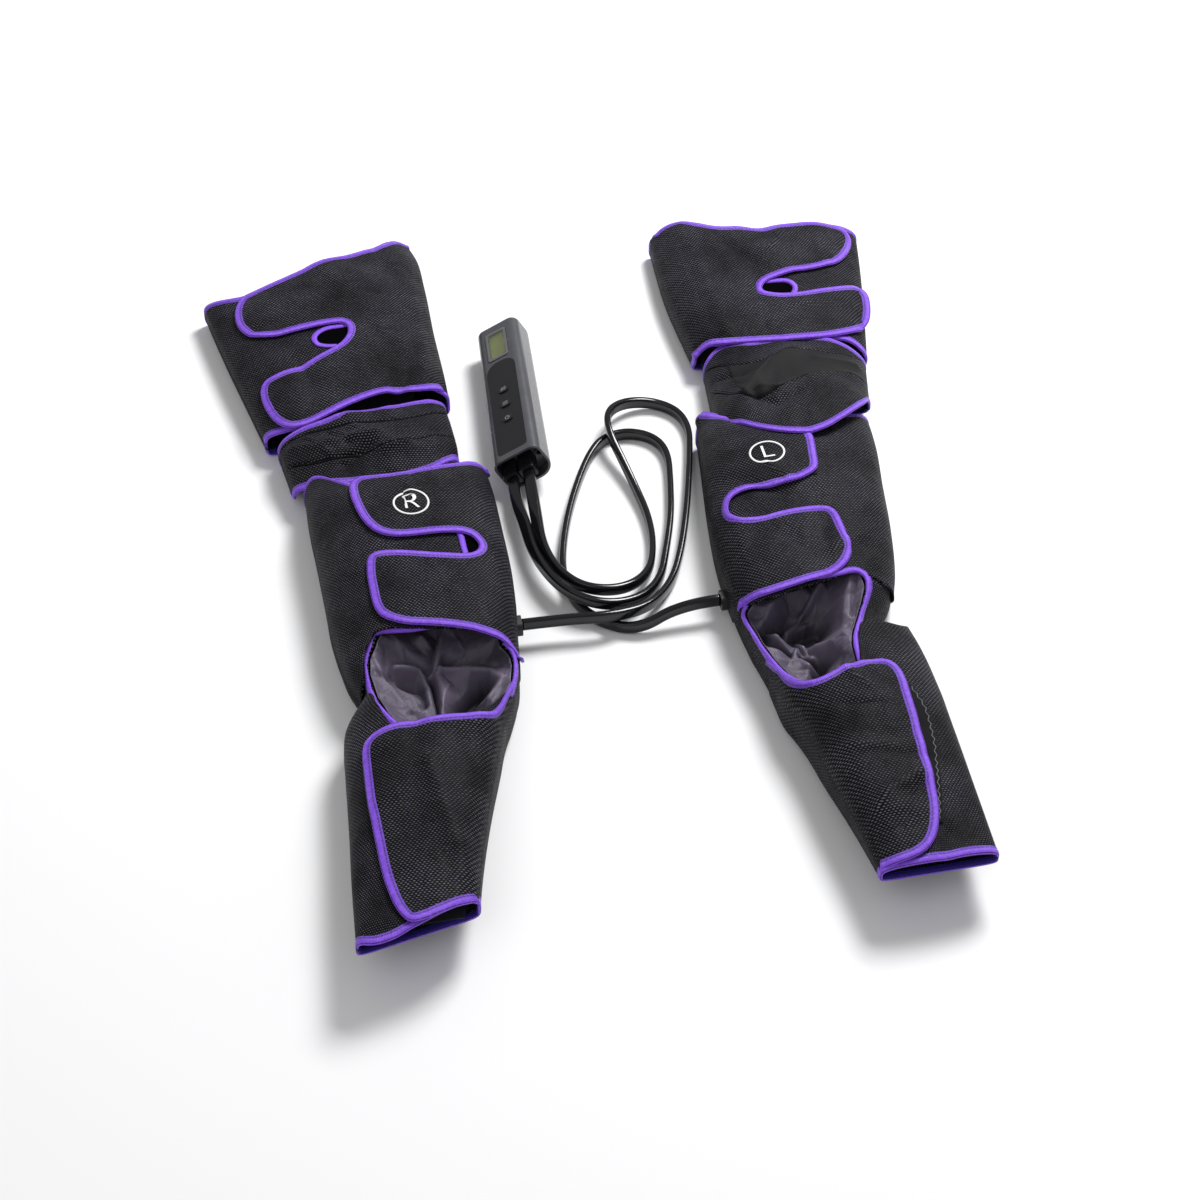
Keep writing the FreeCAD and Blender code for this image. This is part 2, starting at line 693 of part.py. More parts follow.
def make_case(place):
    """Two moulded half shells with plug recess, key recess, display opening, button holes and posts."""
    block_body = case_solid("case_outside", "0", "case_length", "0")
    doc.recompute()
    top = size("case_length")
    rounds = [(number, size("case_end_round"), size("case_end_round"))
              for number, edge in enumerate(block_body.Shape.Edges, start=1)
              if abs(edge.BoundBox.YMin - top) + abs(edge.BoundBox.YMax - top) < size("fit")]
    outside = doc.addObject("Part::Fillet", "case_rounded")
    outside.Base = block_body
    outside.Edges = rounds
    cavity = case_solid("case_cavity", CAVITY_Y, "case_length - case_wall", "case_wall")
    recess = case_solid("case_recess", "-overrun", "plug_recess", "case_wall")
    holes = [rod(f"spigot_hole_{index}", (plug_x(index), "0", "0"), "spigot_radius + fit",
                 f"{CAVITY_Y} + overrun", "y") for index in range(2)]
    jack_hole = rod("jack_hole", ("jack_out", "0", "0"), "jack_radius + fit", f"{CAVITY_Y} + overrun", "y")
    shell = cut("case_shell", outside, cavity, recess, *holes, jack_hole)
    wide = "case_width"
    long_way = ("-overrun", "case_length + overrun")
    front_room = block("front_room", (f"-{wide}", wide), long_way, ("0", "case_depth"))
    back_room = block("back_room", (f"-{wide}", wide), long_way, ("-case_depth", "0"))
    key_recess = key_plate("key_recess", "fit", f"{CASE_FRONT} - panel_thick", f"{CASE_FRONT} + overrun")
    opening = bezel_prism("bezel_opening", "fit", f"{INNER_FRONT} - overrun", f"{CASE_FRONT} + overrun")
    button_holes = [button_prism(f"button_hole_{index}", index, "fit", f"{INNER_FRONT} - overrun",
                                 f"{CASE_FRONT} + overrun") for index in range(len(BUTTON_NAMES))]
    front_half = common("front_half", shell, front_room)
    node("front_shell", cut("front_shell_cut", front_half, key_recess, opening, *button_holes), place=place)
    back_half = common("back_half", shell, back_room)
    posts = [rod(f"post_{x}_{y}", (f"{x} * post_out", f"post_from_end + {y} * {POST_SPAN}", CASE_BACK),
                 "post_radius", "board_low") for x in (-1, 1) for y in (0, 1)]
    posts_inside = common("posts_inside", fuse("posts", *posts), outside)
    bores = []
    for x in (-1, 1):
        for y in (0, 1):
            where = (f"{x} * post_out", f"post_from_end + {y} * {POST_SPAN}", f"{CASE_BACK} - overrun")
            bores.append(rod(f"screw_bore_{x}_{y}", where, "screw_radius + fit", "screw_length + overrun"))
            bores.append(rod(f"screw_seat_{x}_{y}", where, "screw_head_radius + fit",
                             "case_wall + screw_head_depth + overrun"))
    node("back_shell", cut("back_shell_cut", fuse("back_with_posts", back_half, posts_inside), *bores),
         place=place)


def make_display(place):
    """Display: raised bezel, clear window and the module behind it."""
    outside = bezel_prism("bezel_outside", "0", INNER_FRONT, f"{CASE_FRONT} + bezel_stand")
    inside = bezel_prism("bezel_inside", "-bezel_frame", f"{INNER_FRONT} - overrun",
                         f"{CASE_FRONT} + bezel_stand + overrun")
    node("display_bezel", cut("bezel_ring", outside, inside), place=place)
    window_top = f"({CASE_FRONT} + bezel_stand - window_sink)"
    node("display_window", bezel_prism("window_plate", "-bezel_frame - fit", f"{window_top} - window_thick",
                                       window_top), place=place)
    module = bezel_prism("module_block", "-fit", BOARD_TOP, f"{INNER_FRONT} - fit")
    node("display_module", module, place=place)


def make_keys(place):
    """Inlaid key panel and three push buttons with retaining flanges."""
    plate = key_plate("key_plate", "0", f"{CASE_FRONT} - panel_thick", CASE_FRONT)
    holes = [button_prism(f"panel_hole_{index}", index, "fit", INNER_FRONT, f"{CASE_FRONT} + overrun")
             for index in range(len(BUTTON_NAMES))]
    node("key_panel", cut("key_panel_cut", plate, *holes), place=place)
    for index, name in enumerate(BUTTON_NAMES):
        cap = button_prism(f"{name}_cap", index, "0", BUTTON_LOW, f"{CASE_FRONT} + button_stand")
        flange = button_prism(f"{name}_flange", index, "button_flange", BUTTON_LOW, f"{INNER_FRONT} - fit")
        node(f"button_{name}", fuse(f"{name}_whole", cap, flange), place=place)


def make_inside(place):
    """Circuit board with key switches, air pump, valve block and power inlet."""
    ends = (f"{CAVITY_Y} + board_from_wall", "case_length - case_wall - board_from_wall")
    board = block("board_plate", ("-board_width / 2", "board_width / 2"), ends, (BOARD_LOW, BOARD_TOP))
    dome_height = f"{BUTTON_LOW} - button_travel - fit - ({BOARD_TOP})"
    switches = [rod(f"switch_{index}", ("0", f"button_first + {index} * button_pitch", BOARD_TOP),
                    "dome_radius", dome_height) for index in range(len(BUTTON_NAMES))]
    node("circuit_board", fuse("board_whole", board, *switches), place=place)
    axis_z = f"({INNER_BACK} + seat_gap + motor_radius)"
    head_y = f"({CAVITY_Y} + pump_from_wall)"
    head = block("pump_head", ("-pump_head_width / 2", "pump_head_width / 2"),
                 (head_y, f"{head_y} + pump_head_length"),
                 (f"{axis_z} - motor_radius", f"{axis_z} + motor_radius"))
    motor_y = f"{head_y} + pump_head_length"
    motor = rod("pump_motor", ("0", motor_y, axis_z), "motor_radius", "motor_length", "y")
    node("air_pump", fuse("pump_whole", head, motor), place=place)
    valve_y = f"({CAVITY_Y} + seat_gap)"
    valve_top = f"({BOARD_LOW} - seat_gap)"
    body = block("valve_body", ("-plug_shift - valve_width / 2", "-plug_shift + valve_width / 2"),
                 (valve_y, f"{valve_y} + valve_length"), (f"{valve_top} - valve_height", valve_top))
    ports = [rod(f"valve_port_{index}", (plug_x(index), CAVITY_Y, "0"), "spigot_radius + fit",
                 "spigot_length", "y") for index in range(2)]
    node("valve_block", cut("valve_bored", body, *ports), place=place)
    jack_y = f"({CAVITY_Y} - end_wall - jack_radius / 2)"
    jack = rod("jack_body", ("jack_out", jack_y, "0"), "jack_radius", "jack_length", "y")
    bore = rod("jack_socket", ("jack_out", f"{jack_y} - overrun", "0"), "jack_bore", "jack_length", "y")
    node("power_inlet", cut("jack_bored", jack, bore), place=place)


def make_plugs(place):
    """Two ribbed block plugs with spigots that carry the hoses."""
    for index, side in enumerate(("right", "left")):
        outer_y = f"({PLUG_IN_Y} - plug_length)"
        middle = plug_x(index)
        sides = (f"{middle} - plug_width / 2", f"{middle} + plug_width / 2")
        sketch = rectangle(f"plug_{side}_outline", *sides, "-plug_height / 2", "plug_height / 2",
                           ["plug_round"] * 4)
        sketch.Placement = upright(Vector(0, size(PLUG_IN_Y), 0), Vector(1, 0, 0))
        body = prism(f"plug_{side}_body", sketch, "plug_length")
        spigot = rod(f"plug_{side}_spigot", (middle, PLUG_IN_Y, "0"), "spigot_radius", "spigot_length", "y")
        grooves = []
        for number in range(PLUG_GROOVES):
            near = f"({outer_y} + plug_groove_pitch * {number + 1})"
            span = (near, f"{near} + plug_groove")
            width = (f"{middle} - plug_width", f"{middle} + plug_width")
            grooves.append(block(f"plug_{side}_top_groove_{number}", width, span,
                                 ("plug_height / 2 - plug_groove", "plug_height")))
            grooves.append(block(f"plug_{side}_low_groove_{number}", width, span,
                                 ("-plug_height", "plug_groove - plug_height / 2")))
        plug = fuse(f"plug_{side}_whole", body, spigot)
        node(f"hose_plug_{side}", cut(f"plug_{side}_ribbed", plug, *grooves), place=place)


# Hoses

def rounded_path(points):
    """Wire of straight runs joined by tangent arcs, each arc as large as its two runs allow."""
    edges = []
    radii = []
    start = points[0]
    for before, point, after in zip(points, points[1:], points[2:]):
        back = before - point
        ahead = after - point
        reach = ARC_REACH_SHARE * min(back.Length, ahead.Length)
        half = (math.pi - back.getAngle(ahead)) / 2
        radius = reach / math.tan(half)
        first = point + back.normalize() * reach
        last = point + ahead.normalize() * reach
        bisector = (back + ahead).normalize()
        middle = point + bisector * (radius / math.cos(half) - radius)
        edges.append(Part.LineSegment(start, first).toShape())
        edges.append(Part.Arc(first, middle, last).toShape())
        radii.append(radius)
        start = last
    edges.append(Part.LineSegment(start, points[-1]).toShape())
    return Part.Wire(edges), radii


def make_hose(index, side, sign, place):
    """Hose from its plug on the controller to its entry on the calf."""
    mouth = place.multVec(Vector(size(plug_x(index)), size(f"{PLUG_IN_Y} - plug_length"), 0))
    entry = Vector(sign * size("entry_out"), size(f"{ANKLE_Y} + entry_from_ankle"),
                   size("entry_low + entry_height / 2"))
    along = place.Rotation.multVec(Vector(0, 1, 0))
    points = [mouth, mouth - along * size("hose_first_run")]
    points += [Vector(*point) for point in HOSE_POINTS[side]]
    points += [entry - Vector(sign * size("hose_last_run"), 0, 0), entry]
    path, radii = rounded_path(points)
    section_circle = Part.Wire(Part.makeCircle(size("hose_width") / 2, mouth, along))
    hose = doc.addObject("Part::Feature", f"hose_{side}_tube")
    hose.Shape = path.makePipeShell([section_circle], True, False)
    share = hose.Shape.Volume / (path.Length * math.pi * size("hose_width") ** 2 / 4)
    print(f"hose_{side}: length {path.Length:.0f}, volume over section times length {share:.4f}")
    print("  radii", [round(radius) for radius in radii])
    print("  ends", [[round(value, 1) for value in point] for point in (mouth, entry)])
    node(f"hose_{side}", hose)


for leg_side, leg_sign in (("right", -1), ("left", 1)):
    make_leg(leg_side, leg_sign)
controller = case_place()
make_case(controller)
make_display(controller)
make_keys(controller)
make_inside(controller)
make_plugs(controller)
for hose_index, (leg_side, leg_sign) in enumerate((("right", -1), ("left", 1))):
    make_hose(hose_index, leg_side, leg_sign, controller)

doc.recompute()
failed = [item.Name for item in doc.Objects if {"Invalid", "Error"} & set(item.State)]
failed += [item.Label for item in nodes if item.Shape.isNull() or not item.Shape.isValid()]
if failed:
    raise RuntimeError(f"not built: {failed}")

os.makedirs("parts", exist_ok=True)
for item in nodes:
    item.Shape.exportStep(f"parts/{item.Label}.step")
print(len(nodes), "nodes")
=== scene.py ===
"""Pair of heated compression leg wraps with air hoses and a hand controller, dressed on the solids."""

import json
import math

import bpy
import numpy as np
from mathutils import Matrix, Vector
from mathutils.geometry import delaunay_2d_cdt


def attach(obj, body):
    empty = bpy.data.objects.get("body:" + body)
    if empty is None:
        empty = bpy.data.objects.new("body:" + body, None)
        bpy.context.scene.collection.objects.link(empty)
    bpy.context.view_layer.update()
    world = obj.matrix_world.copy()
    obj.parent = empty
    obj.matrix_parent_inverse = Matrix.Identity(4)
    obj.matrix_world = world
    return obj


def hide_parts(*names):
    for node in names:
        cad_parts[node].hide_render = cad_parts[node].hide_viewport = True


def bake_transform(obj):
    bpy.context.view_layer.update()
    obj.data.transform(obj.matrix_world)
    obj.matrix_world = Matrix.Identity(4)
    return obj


bl_info = {
    "name": "Leg wraps",
    "version": (1, 0, 0),
    "blender": (4, 5, 0),
    "location": "3D View > Sidebar > Leg wraps",
    "description": "Builds a pair of padded leg wraps with air hoses and a hand controller",
    "category": "Object",
}

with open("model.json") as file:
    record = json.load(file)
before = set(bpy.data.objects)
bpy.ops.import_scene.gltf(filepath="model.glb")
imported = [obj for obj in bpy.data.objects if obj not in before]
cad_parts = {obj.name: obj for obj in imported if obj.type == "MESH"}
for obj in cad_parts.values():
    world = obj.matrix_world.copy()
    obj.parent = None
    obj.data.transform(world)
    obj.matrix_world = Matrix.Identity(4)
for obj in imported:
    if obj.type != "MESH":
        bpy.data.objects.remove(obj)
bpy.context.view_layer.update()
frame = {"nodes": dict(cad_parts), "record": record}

MM = 0.001
SIDES = {"right": -1, "left": 1}
UP = np.array((0, 0, 1))

# Smallest length that is divided by, and steps in millimetres by which a slope is measured
TINY = 1e-12
SLOPE_STEP = 0.5

# Corners of an open line: share of each run that is cut, and how often
CORNER_CUT = 0.25
CORNER_ROUNDS = 3

# Depths in metres of thin cloth and of printed marks
THIN_CLOTH = 0.0008
PRINT_DEPTH = 0.0004

# Section of a folded tape from its upper lip to its fold: share of the width and added distance into the
# cloth, share of the half depth and added height
TAPE_PROFILE = (
    (1, 0, 1, -0.0004), (1, -0.0005, 1, 0), (0.72, 0, 1, -0.0001), (0.5, 0, 1, 0.0004), (0.2, 0, 1, 0.0003),
    (0, 0.0006, 0.9, 0), (0, -0.0006, 0.35, 0),
)

# Tapes: where the lower lip's pattern starts, which puts that lip in the painted shade, and how steep cloth
# shortens their reach in plan, in rounds that are smoothed over a count of neighbours
UNDER_SHADE_SHIFT = 0.002
REACH_ROUNDS = 3
LEAST_REACH = 0.35
SMOOTH_REACH = 7

# Stations of the sleeves in millimetres: distance along the leg, inner edge, outer edge, underside, crown
LOWER_LEG = {
    "right": (
        (-502, 195, 299, 38, 67),
        (-430, 181, 296, 27, 71),
        (-364, 165, 292, 16, 74),
        (-300, 147, 289, 4, 75),
        (-262, 136, 287, 0, 74),
        (-243, 128, 284, 0, 73),
        (-227, 122, 277, 0, 71),
        (-212, 117, 268, 0, 70),
        (-201, 114, 263, 0, 70),
        (-193, 112, 266, 0, 70),
        (-168, 109, 275, 0, 71),
        (-147, 107, 279, 0, 72),
        (-100, 102, 285, 0, 73),
        (-69, 100, 286, 0, 73),
        (0, 100, 289, 0, 74),
        (60, 101, 292, 0, 71),
        (100, 103, 292, 0, 59),
        (131, 105, 292, 0, 49),
    ),
    "left": (
        (-502, 160, 267, 40, 61),
        (-430, 151, 269, 27, 67),
        (-364, 141, 271, 14, 72),
        (-324, 136, 272, 6, 75),
        (-300, 131, 273, 2, 75),
        (-280, 125, 273, 0, 74),
        (-252, 122, 272, 0, 73),
        (-226, 120, 270, 0, 71),
        (-205, 116, 267, 0, 70),
        (-180, 111, 264, 0, 70),
        (-153, 108, 265, 0, 70),
        (-126, 106, 273, 0, 71),
        (-66, 105, 285, 0, 73),
        (0, 110, 294, 0, 73),
        (60, 117, 303, 0, 69),
        (100, 122, 307, 0, 60),
        (135, 126, 309, 0, 48),
    ),
}
HEEL = {
    "right": (
        (-295, 150, 270, 4, 71),
        (-240, 127, 268, 0, 70),
        (-205, 114, 262, 0, 70),
        (-185, 111, 262, 0, 70),
        (-165, 109, 264, 0, 70),
        (-140, 107, 268, 0, 70),
        (-105, 105, 272, 0, 70),
    ),
    "left": (
        (-295, 132, 262, 3, 71),
        (-240, 122, 240, 0, 70),
        (-205, 116, 225, 0, 69),
        (-190, 113, 226, 0, 69),
        (-175, 111, 239, 0, 69),
        (-160, 109, 256, 0, 69),
        (-150, 108, 263, 0, 70),
        (-105, 106, 268, 0, 70),
    ),
}
THIGH = {
    "right": (
        (190, 125, 323, 0, 45),
        (260, 125, 339, 0, 50),
        (340, 127, 357, 0, 50),
        (430, 127, 375, 0, 47),
        (485, 129, 384, 0, 40),
        (525, 138, 390, 0, 34),
    ),
    "left": (
        (215, 152, 334, 0, 45),
        (290, 144, 350, 0, 50),
        (370, 138, 366, 0, 50),
        (450, 139, 380, 0, 47),
        (510, 141, 390, 0, 36),
    ),
}
KNEE = {
    "right": (
        (95, 130, 302, 0, 40),
        (120, 129, 304, 0, 46),
        (145, 127, 308, 0, 54),
        (180, 128, 313, 0, 52),
        (228, 131, 317, 0, 43),
    ),
    "left": (
        (62, 149, 311, 0, 77),
        (92, 148, 312, 0, 77),
        (130, 148, 314, 0, 74),
        (170, 150, 322, 0, 62),
        (210, 153, 330, 0, 53),
        (250, 156, 336, 0, 47),
    ),
}

# Tables of the sleeves by name
SLEEVES = {"thigh": THIGH, "knee": KNEE, "calf": LOWER_LEG, "foot": LOWER_LEG}

# Sections of the sleeves: powers above and below the side line, its share of the height, floor gap, grid
POWER = 2.5
UNDER_POWER = 7.0
WAIST_SHARE = 0.42
FLOOR_GAP = 0.2
SLEEVE_GRID = (160, 80)

# Slow swell of the sleeves: height, sway, wave lengths across and along the leg, and power of its fade
SWELL_RISE = 1.6
SWELL_SWAY = 1.3
SWELL_ACROSS = (31, 90)
SWELL_ALONG = (57, 43)
SWELL_FADE = 3

# Dents of the sleeves: count, region across and along the leg, depth and breadth; power of their fade
DENTS = (70, (110, 380, -490, 510), 3.0, 9.5)
DENT_FADE = 4

# Spread of the dents' heights and breadths, and their length in breadths
RIDGE_HEIGHTS = (0.4, 1.0)
RIDGE_BREADTHS = (0.6, 1.5)
RIDGE_STRETCH = 4

# Crest of a crease: gain, and roundness of its top
CREST_GAIN = 0.35
CREST_ROUND = 0.12

# Creases of the sleeves, by their first station's inner edge: two ends across and along, height, breadth
SLEEVE_CREASES = {
    195: (
        (119, -30, 111, -165, 3.4, 4), (215, -323, 193, -446, 5.0, 9), (190, 58, 187, 25, 2.0, 4),
        (184, 62, 196, 30, -2.0, 4), (263, -113, 255, -165, 2.6, 6), (150, -92, 136, -150, 2.0, 5),
        (262, 60, 252, -60, 3.0, 7), (178, -300, 158, -392, -3.6, 8),
    ),
    160: (
        (161, -452, 185, -423, 3.2, 5), (185, -423, 216, -407, 3.0, 5), (188, -461, 216, -418, -2.6, 5),
        (182, -277, 198, -303, 2.4, 4), (173, 17, 191, -11, 2.2, 4), (290, 34, 280, -75, 3.0, 5),
        (128, 60, 124, -110, 2.4, 6), (170, -318, 205, -326, -1.8, 4), (165, -366, 200, -372, 1.8, 4),
    ),
    125: (
        (140, 501, 146, 248, 3.0, 5), (168, 311, 147, 257, 2.6, 5), (176, 492, 158, 420, -2.0, 7),
        (160, 300, 152, 262, -2.0, 4), (300, 310, 262, 320, 1.8, 7),
    ),
    152: (
        (232, 308, 237, 370, -3.0, 6), (266, 399, 285, 427, 2.4, 6), (176, 470, 186, 270, 3.0, 8),
        (214, 420, 240, 380, -2.0, 7), (262, 290, 318, 300, 1.6, 6),
    ),
}

# Ends of the sleeves' upper sides: a share across, from -1 at the inner edge to 1, and a distance along
ENDS = {
    ("thigh", "right"): (
        ((-1, 232), (-0.67, 236), (-0.33, 232), (0, 222), (0.33, 206), (0.67, 194), (1, 199)),
        ((-1, 517), (-0.85, 521), (-0.67, 505), (-0.33, 476), (0, 459), (0.33, 441), (0.67, 428), (1, 436)),
    ),
    ("thigh", "left"): (
        ((-1, 251), (-0.87, 256), (-0.69, 250), (0, 242), (0.62, 239), (0.81, 235), (0.92, 228), (1, 222)),
        ((-1, 474), (-0.74, 481), (-0.58, 467), (-0.4, 452), (-0.04, 441), (0.24, 443), (0.56, 448),
         (1, 441)),
    ),
    ("knee", "right"): (
        ((-1, 128), (-0.67, 108), (-0.33, 100), (0, 98), (0.33, 98), (0.67, 102), (1, 110)),
        ((-1, 226), (-0.67, 218), (-0.33, 206), (0, 199), (0.33, 193), (0.67, 190), (1, 182)),
    ),
    ("knee", "left"): (
        ((-1, 118), (-0.92, 106), (-0.77, 91), (-0.55, 74), (-0.35, 64), (-0.1, 58), (0.15, 60), (0.4, 71),
         (0.7, 92), (0.88, 110), (1, 130)),
        ((-1, 238), (-0.85, 250), (-0.39, 245), (0.09, 246), (0.33, 243), (0.59, 236), (0.8, 224), (1, 208)),
    ),
    ("calf", "right"): (
        ((-1, -178), (-0.9, -170), (-0.67, -163), (-0.17, -154), (0.15, -149), (0.5, -141), (0.58, -142),
         (0.66, -151), (0.77, -164), (0.86, -182), (1, -198)),
        ((-1, 105), (-0.67, 87), (-0.33, 76), (0, 72), (0.33, 73), (0.54, 73), (0.67, 89), (0.8, 109),
         (0.9, 116), (1, 109)),
    ),
    ("calf", "left"): (
        ((-1, -152), (-0.8, -158), (-0.34, -160), (-0.09, -156), (0.25, -147), (0.43, -143), (0.56, -145),
         (0.7, -148), (0.85, -152), (1, -153)),
        ((-1, 136), (-0.92, 150), (-0.8, 144), (-0.6, 124), (-0.3, 100), (0, 94), (0.5, 97), (1, 116)),
    ),
    ("foot", "right"): (
        ((-1, -470), (-0.7, -477), (-0.4, -484), (0, -494), (0.4, -503), (0.7, -504), (1, -497)),
        ((-1, -222), (-0.92, -226), (-0.8, -248), (-0.64, -264), (-0.4, -272), (0, -276), (0.36, -272),
         (0.47, -256), (0.56, -242), (0.68, -228), (0.8, -214), (1, -203)),
    ),
    ("foot", "left"): (
        ((-1, -497), (-0.5, -498), (0, -498), (0.5, -496), (1, -494)),
        ((-1, -236), (-0.88, -256), (-0.75, -274), (-0.45, -284), (-0.1, -282), (0.03, -262), (0.12, -236),
         (0.22, -217), (0.32, -210), (0.55, -211), (0.84, -212), (1, -203)),
    ),
}

# How far the underside of a sleeve's low end lies beyond its side lines
LEANS = {("knee", "right"): 30, ("knee", "left"): 30, ("calf", "left"): 25, ("thigh", "left"): 12}

# Loop strips of the feet: inner edge, and places along and across the leg on their outer edge
FOOT_STRIPS = {
    "right": (214, ((-450, 250), (-375, 250), (-300, 250))),
    "left": (200, ((-462, 224), (-410, 236), (-365, 244), (-330, 245), (-302, 238))),
}

# Outlines of the flaps, across and along the leg: from the low end of the root round to its high end
FLAPS = {
    ("thigh", "right"): (
        (134, 235), (148, 228), (163, 226), (186, 229), (211, 222), (235, 211), (259, 199), (282, 191),
        (299, 194), (312, 210), (320, 234), (323, 258), (318, 271), (306, 276), (281, 284), (253, 298),
        (233, 310), (223, 324), (220, 340), (226, 350), (239, 351), (256, 349), (276, 345), (300, 341),
        (320, 344), (331, 353), (339, 369), (341, 390), (338, 410), (331, 423), (317, 429), (288, 443),
        (257, 460), (226, 474), (205, 480), (183, 493), (165, 506), (150, 519), (139, 519),
    ),
    ("thigh", "left"): (
        (152, 251), (163, 253), (180, 248), (230, 239), (275, 235), (306, 240), (332, 252), (347, 265),
        (355, 288), (359, 316), (350, 330), (324, 321), (290, 315), (260, 314), (243, 320), (239, 331),
        (248, 343), (264, 348), (294, 352), (325, 360), (345, 374), (360, 402), (364, 423), (355, 435),
        (341, 441), (322, 446), (286, 444), (254, 442), (214, 452), (194, 467), (175, 481), (155, 479),
        (148, 476),
    ),
    ("calf", "right"): (
        (112, -177), (122, -171), (136, -167), (151, -163), (173, -156), (195, -150), (214, -145),
        (234, -130), (240, -116), (241, -98), (242, -66), (239, -47), (229, -42), (205, -45), (170, -55),
        (145, -59), (131, -52), (129, -39), (139, -27), (166, -25), (206, -27), (224, -20), (235, -5),
        (242, 16), (247, 44), (246, 63), (237, 73), (220, 74), (200, 72), (171, 75), (139, 83), (117, 99),
        (107, 104),
    ),
    ("calf", "left"): (
        (112, -151), (125, -156), (140, -159), (164, -157), (196, -149), (212, -141), (224, -127),
        (228, -112), (228, -84), (226, -60), (214, -51), (188, -53), (152, -55), (133, -51), (125, -41),
        (124, -28), (130, -16), (147, -11), (173, -15), (197, -15), (215, -8), (223, 2), (226, 25),
        (229, 45), (229, 70), (222, 88), (200, 95), (175, 99), (154, 121), (140, 145), (131, 151),
        (125, 144),
    ),
    ("foot", "right"): (
        (193, -472), (206, -479), (221, -485), (237, -491), (250, -493), (257, -486), (263, -468),
        (268, -436), (271, -361), (270, -310), (269, -294), (264, -282), (252, -274), (231, -272),
        (204, -273), (173, -271), (153, -264), (141, -250), (131, -230), (122, -212),
    ),
    ("foot", "left"): (
        (164, -494), (176, -495), (192, -493), (207, -485), (219, -465), (227, -425), (230, -373),
        (231, -333), (232, -300), (231, -281), (221, -269), (201, -270), (176, -275), (156, -281),
        (141, -275), (131, -257), (127, -240), (122, -222),
    ),
}

# Flaps: cap of the sleeve's height under them, their root beside the sleeve's inner edge, its share of the
# lift, and the strip from the root in which the lift grows
FLAP_CAP = 0.93
ROOT_INSET = 1.5
ROOT_MARGIN = 0.8
ROOT_LIFT = 0.2
LIFT_START = 2
LIFT_BREADTH = 22
FLAP_POINTS = 420
ROOT_POINTS = 90

# Strip beside a flap's hinge, in metres: least start, root margin and breadth
BEND_START = -0.004
BEND_MARGIN = 0.0015
BEND_BREADTH = 0.022

# Ends of the flaps' tapes, in metres: flaps whose high end is tucked in too, and steps outwards and down
HIGH_TUCKS = {("thigh", "right"), ("thigh", "left"), ("calf", "right")}
TUCK_STEPS = ((0.0014, 0.0004), (0.0026, 0.0014), (0.0034, 0.003), (0.0037, 0.0052))

# Lattice that fills an outline: step, its shares for rows and clearance, and the gap that merges points
FILL_STEP = 3.6
ROW_SHARE = 0.866
CLEAR_SHARE = 0.6
MERGE_GAP = 1e-6

# Ends of the flaps' slots, across and along the leg: bound edge of the under panel, and the outline of a
# black sheet of painted shadow where the slot opens
SLOT_EDGES = {
    ("thigh", "right"): ((214, 346), (230, 344), (245, 344), (257, 335), (257, 321), (248, 316), (236, 314)),
    ("thigh", "left"): ((236, 342), (255, 341), (270, 339), (276, 330), (274, 322), (268, 314)),
    ("calf", "right"): ((144, -24), (143, -32), (143, -44), (142, -56)),
}
SLOT_SHADOWS = {
    ("thigh", "right"): ((214, 348), (230, 345), (245, 345), (257, 336), (257, 321), (248, 315), (236, 309),
                         (226, 314), (216, 326), (213, 340)),
    ("thigh", "left"): ((236, 344), (255, 342), (270, 340), (276, 331), (272, 322), (268, 313), (250, 312),
                        (236, 319), (232, 332)),
    ("calf", "right"): ((144, -24), (143, -44), (142, -58), (131, -57), (125, -48), (124, -34), (130, -24)),
}
SLOT_TAPE = 0.0056
SLOT_TAPE_SHARE = 0.7
SLOT_LIFT = 0.0005
SHADOW_POINTS = 90
SLOT_POINTS = 80

# Seams across the knees, across and along the leg
SEAMS = {
    "right": (
        ((322, 168), (309, 172), (273, 177), (229, 176), (177, 177), (131, 204), (122, 208)),
        ((322, 146), (310, 143), (281, 131), (258, 132), (233, 135), (199, 139), (125, 160), (118, 164)),
    ),
    "left": (
        ((140, 230), (163, 221), (188, 206), (217, 201), (243, 219), (271, 216), (294, 206), (324, 203),
         (336, 202)),
        ((140, 190), (151, 183), (168, 148), (189, 126), (210, 132), (238, 153), (273, 158), (322, 159),
         (336, 158)),
    ),
}
SEAM_DEPTH = 2.0
SEAM_BREADTH = 1.8
SEAM_LINE = 0.55
SEAM_LIFT = 1.1
SEAM_POINTS = 120
KNEE_PEAK = {"right": 54, "left": 77}

# Bound rims of the opening over the instep, across and along the leg; the outer ones start under the calf
# flap, and the heel cup follows each rim after its lead
RIMS = {
    ("outer", "right"): (
        (158, -146), (178, -150), (205, -151), (222, -147), (236, -142), (241, -141), (245, -146),
        (248, -153), (255, -163), (257, -179), (253, -214), (245, -243), (236, -262), (230, -274),
    ),
    ("inner", "right"): (
        (124, -170), (116, -177), (115, -188), (120, -212), (132, -241), (148, -260), (166, -267),
    ),
    ("outer", "left"): (
        (150, -148), (176, -151), (208, -147), (224, -142), (234, -146), (235, -156), (229, -171),
        (219, -191), (207, -216), (200, -235), (198, -256), (197, -272),
    ),
    ("inner", "left"): (
        (118, -154), (111, -157), (112, -168), (117, -198), (124, -228), (132, -254), (144, -273),
        (160, -281),
    ),
}
RIM_LEAD = {("outer", "right"): 5, ("inner", "right"): 0, ("outer", "left"): 4, ("inner", "left"): 0}
RIM_TAPE = 0.0066
RIM_CAP = 0.985
RIM_POINTS = 220
OPENING_MIDDLE = {"right": (188, -212), "left": (170, -212)}

# Heel cups: inset, count of points along and round, and reach along the leg
HEEL_INSET = 1.0
HEEL_GRID = (70, 72)
HEEL_REACH = (-286, -132)

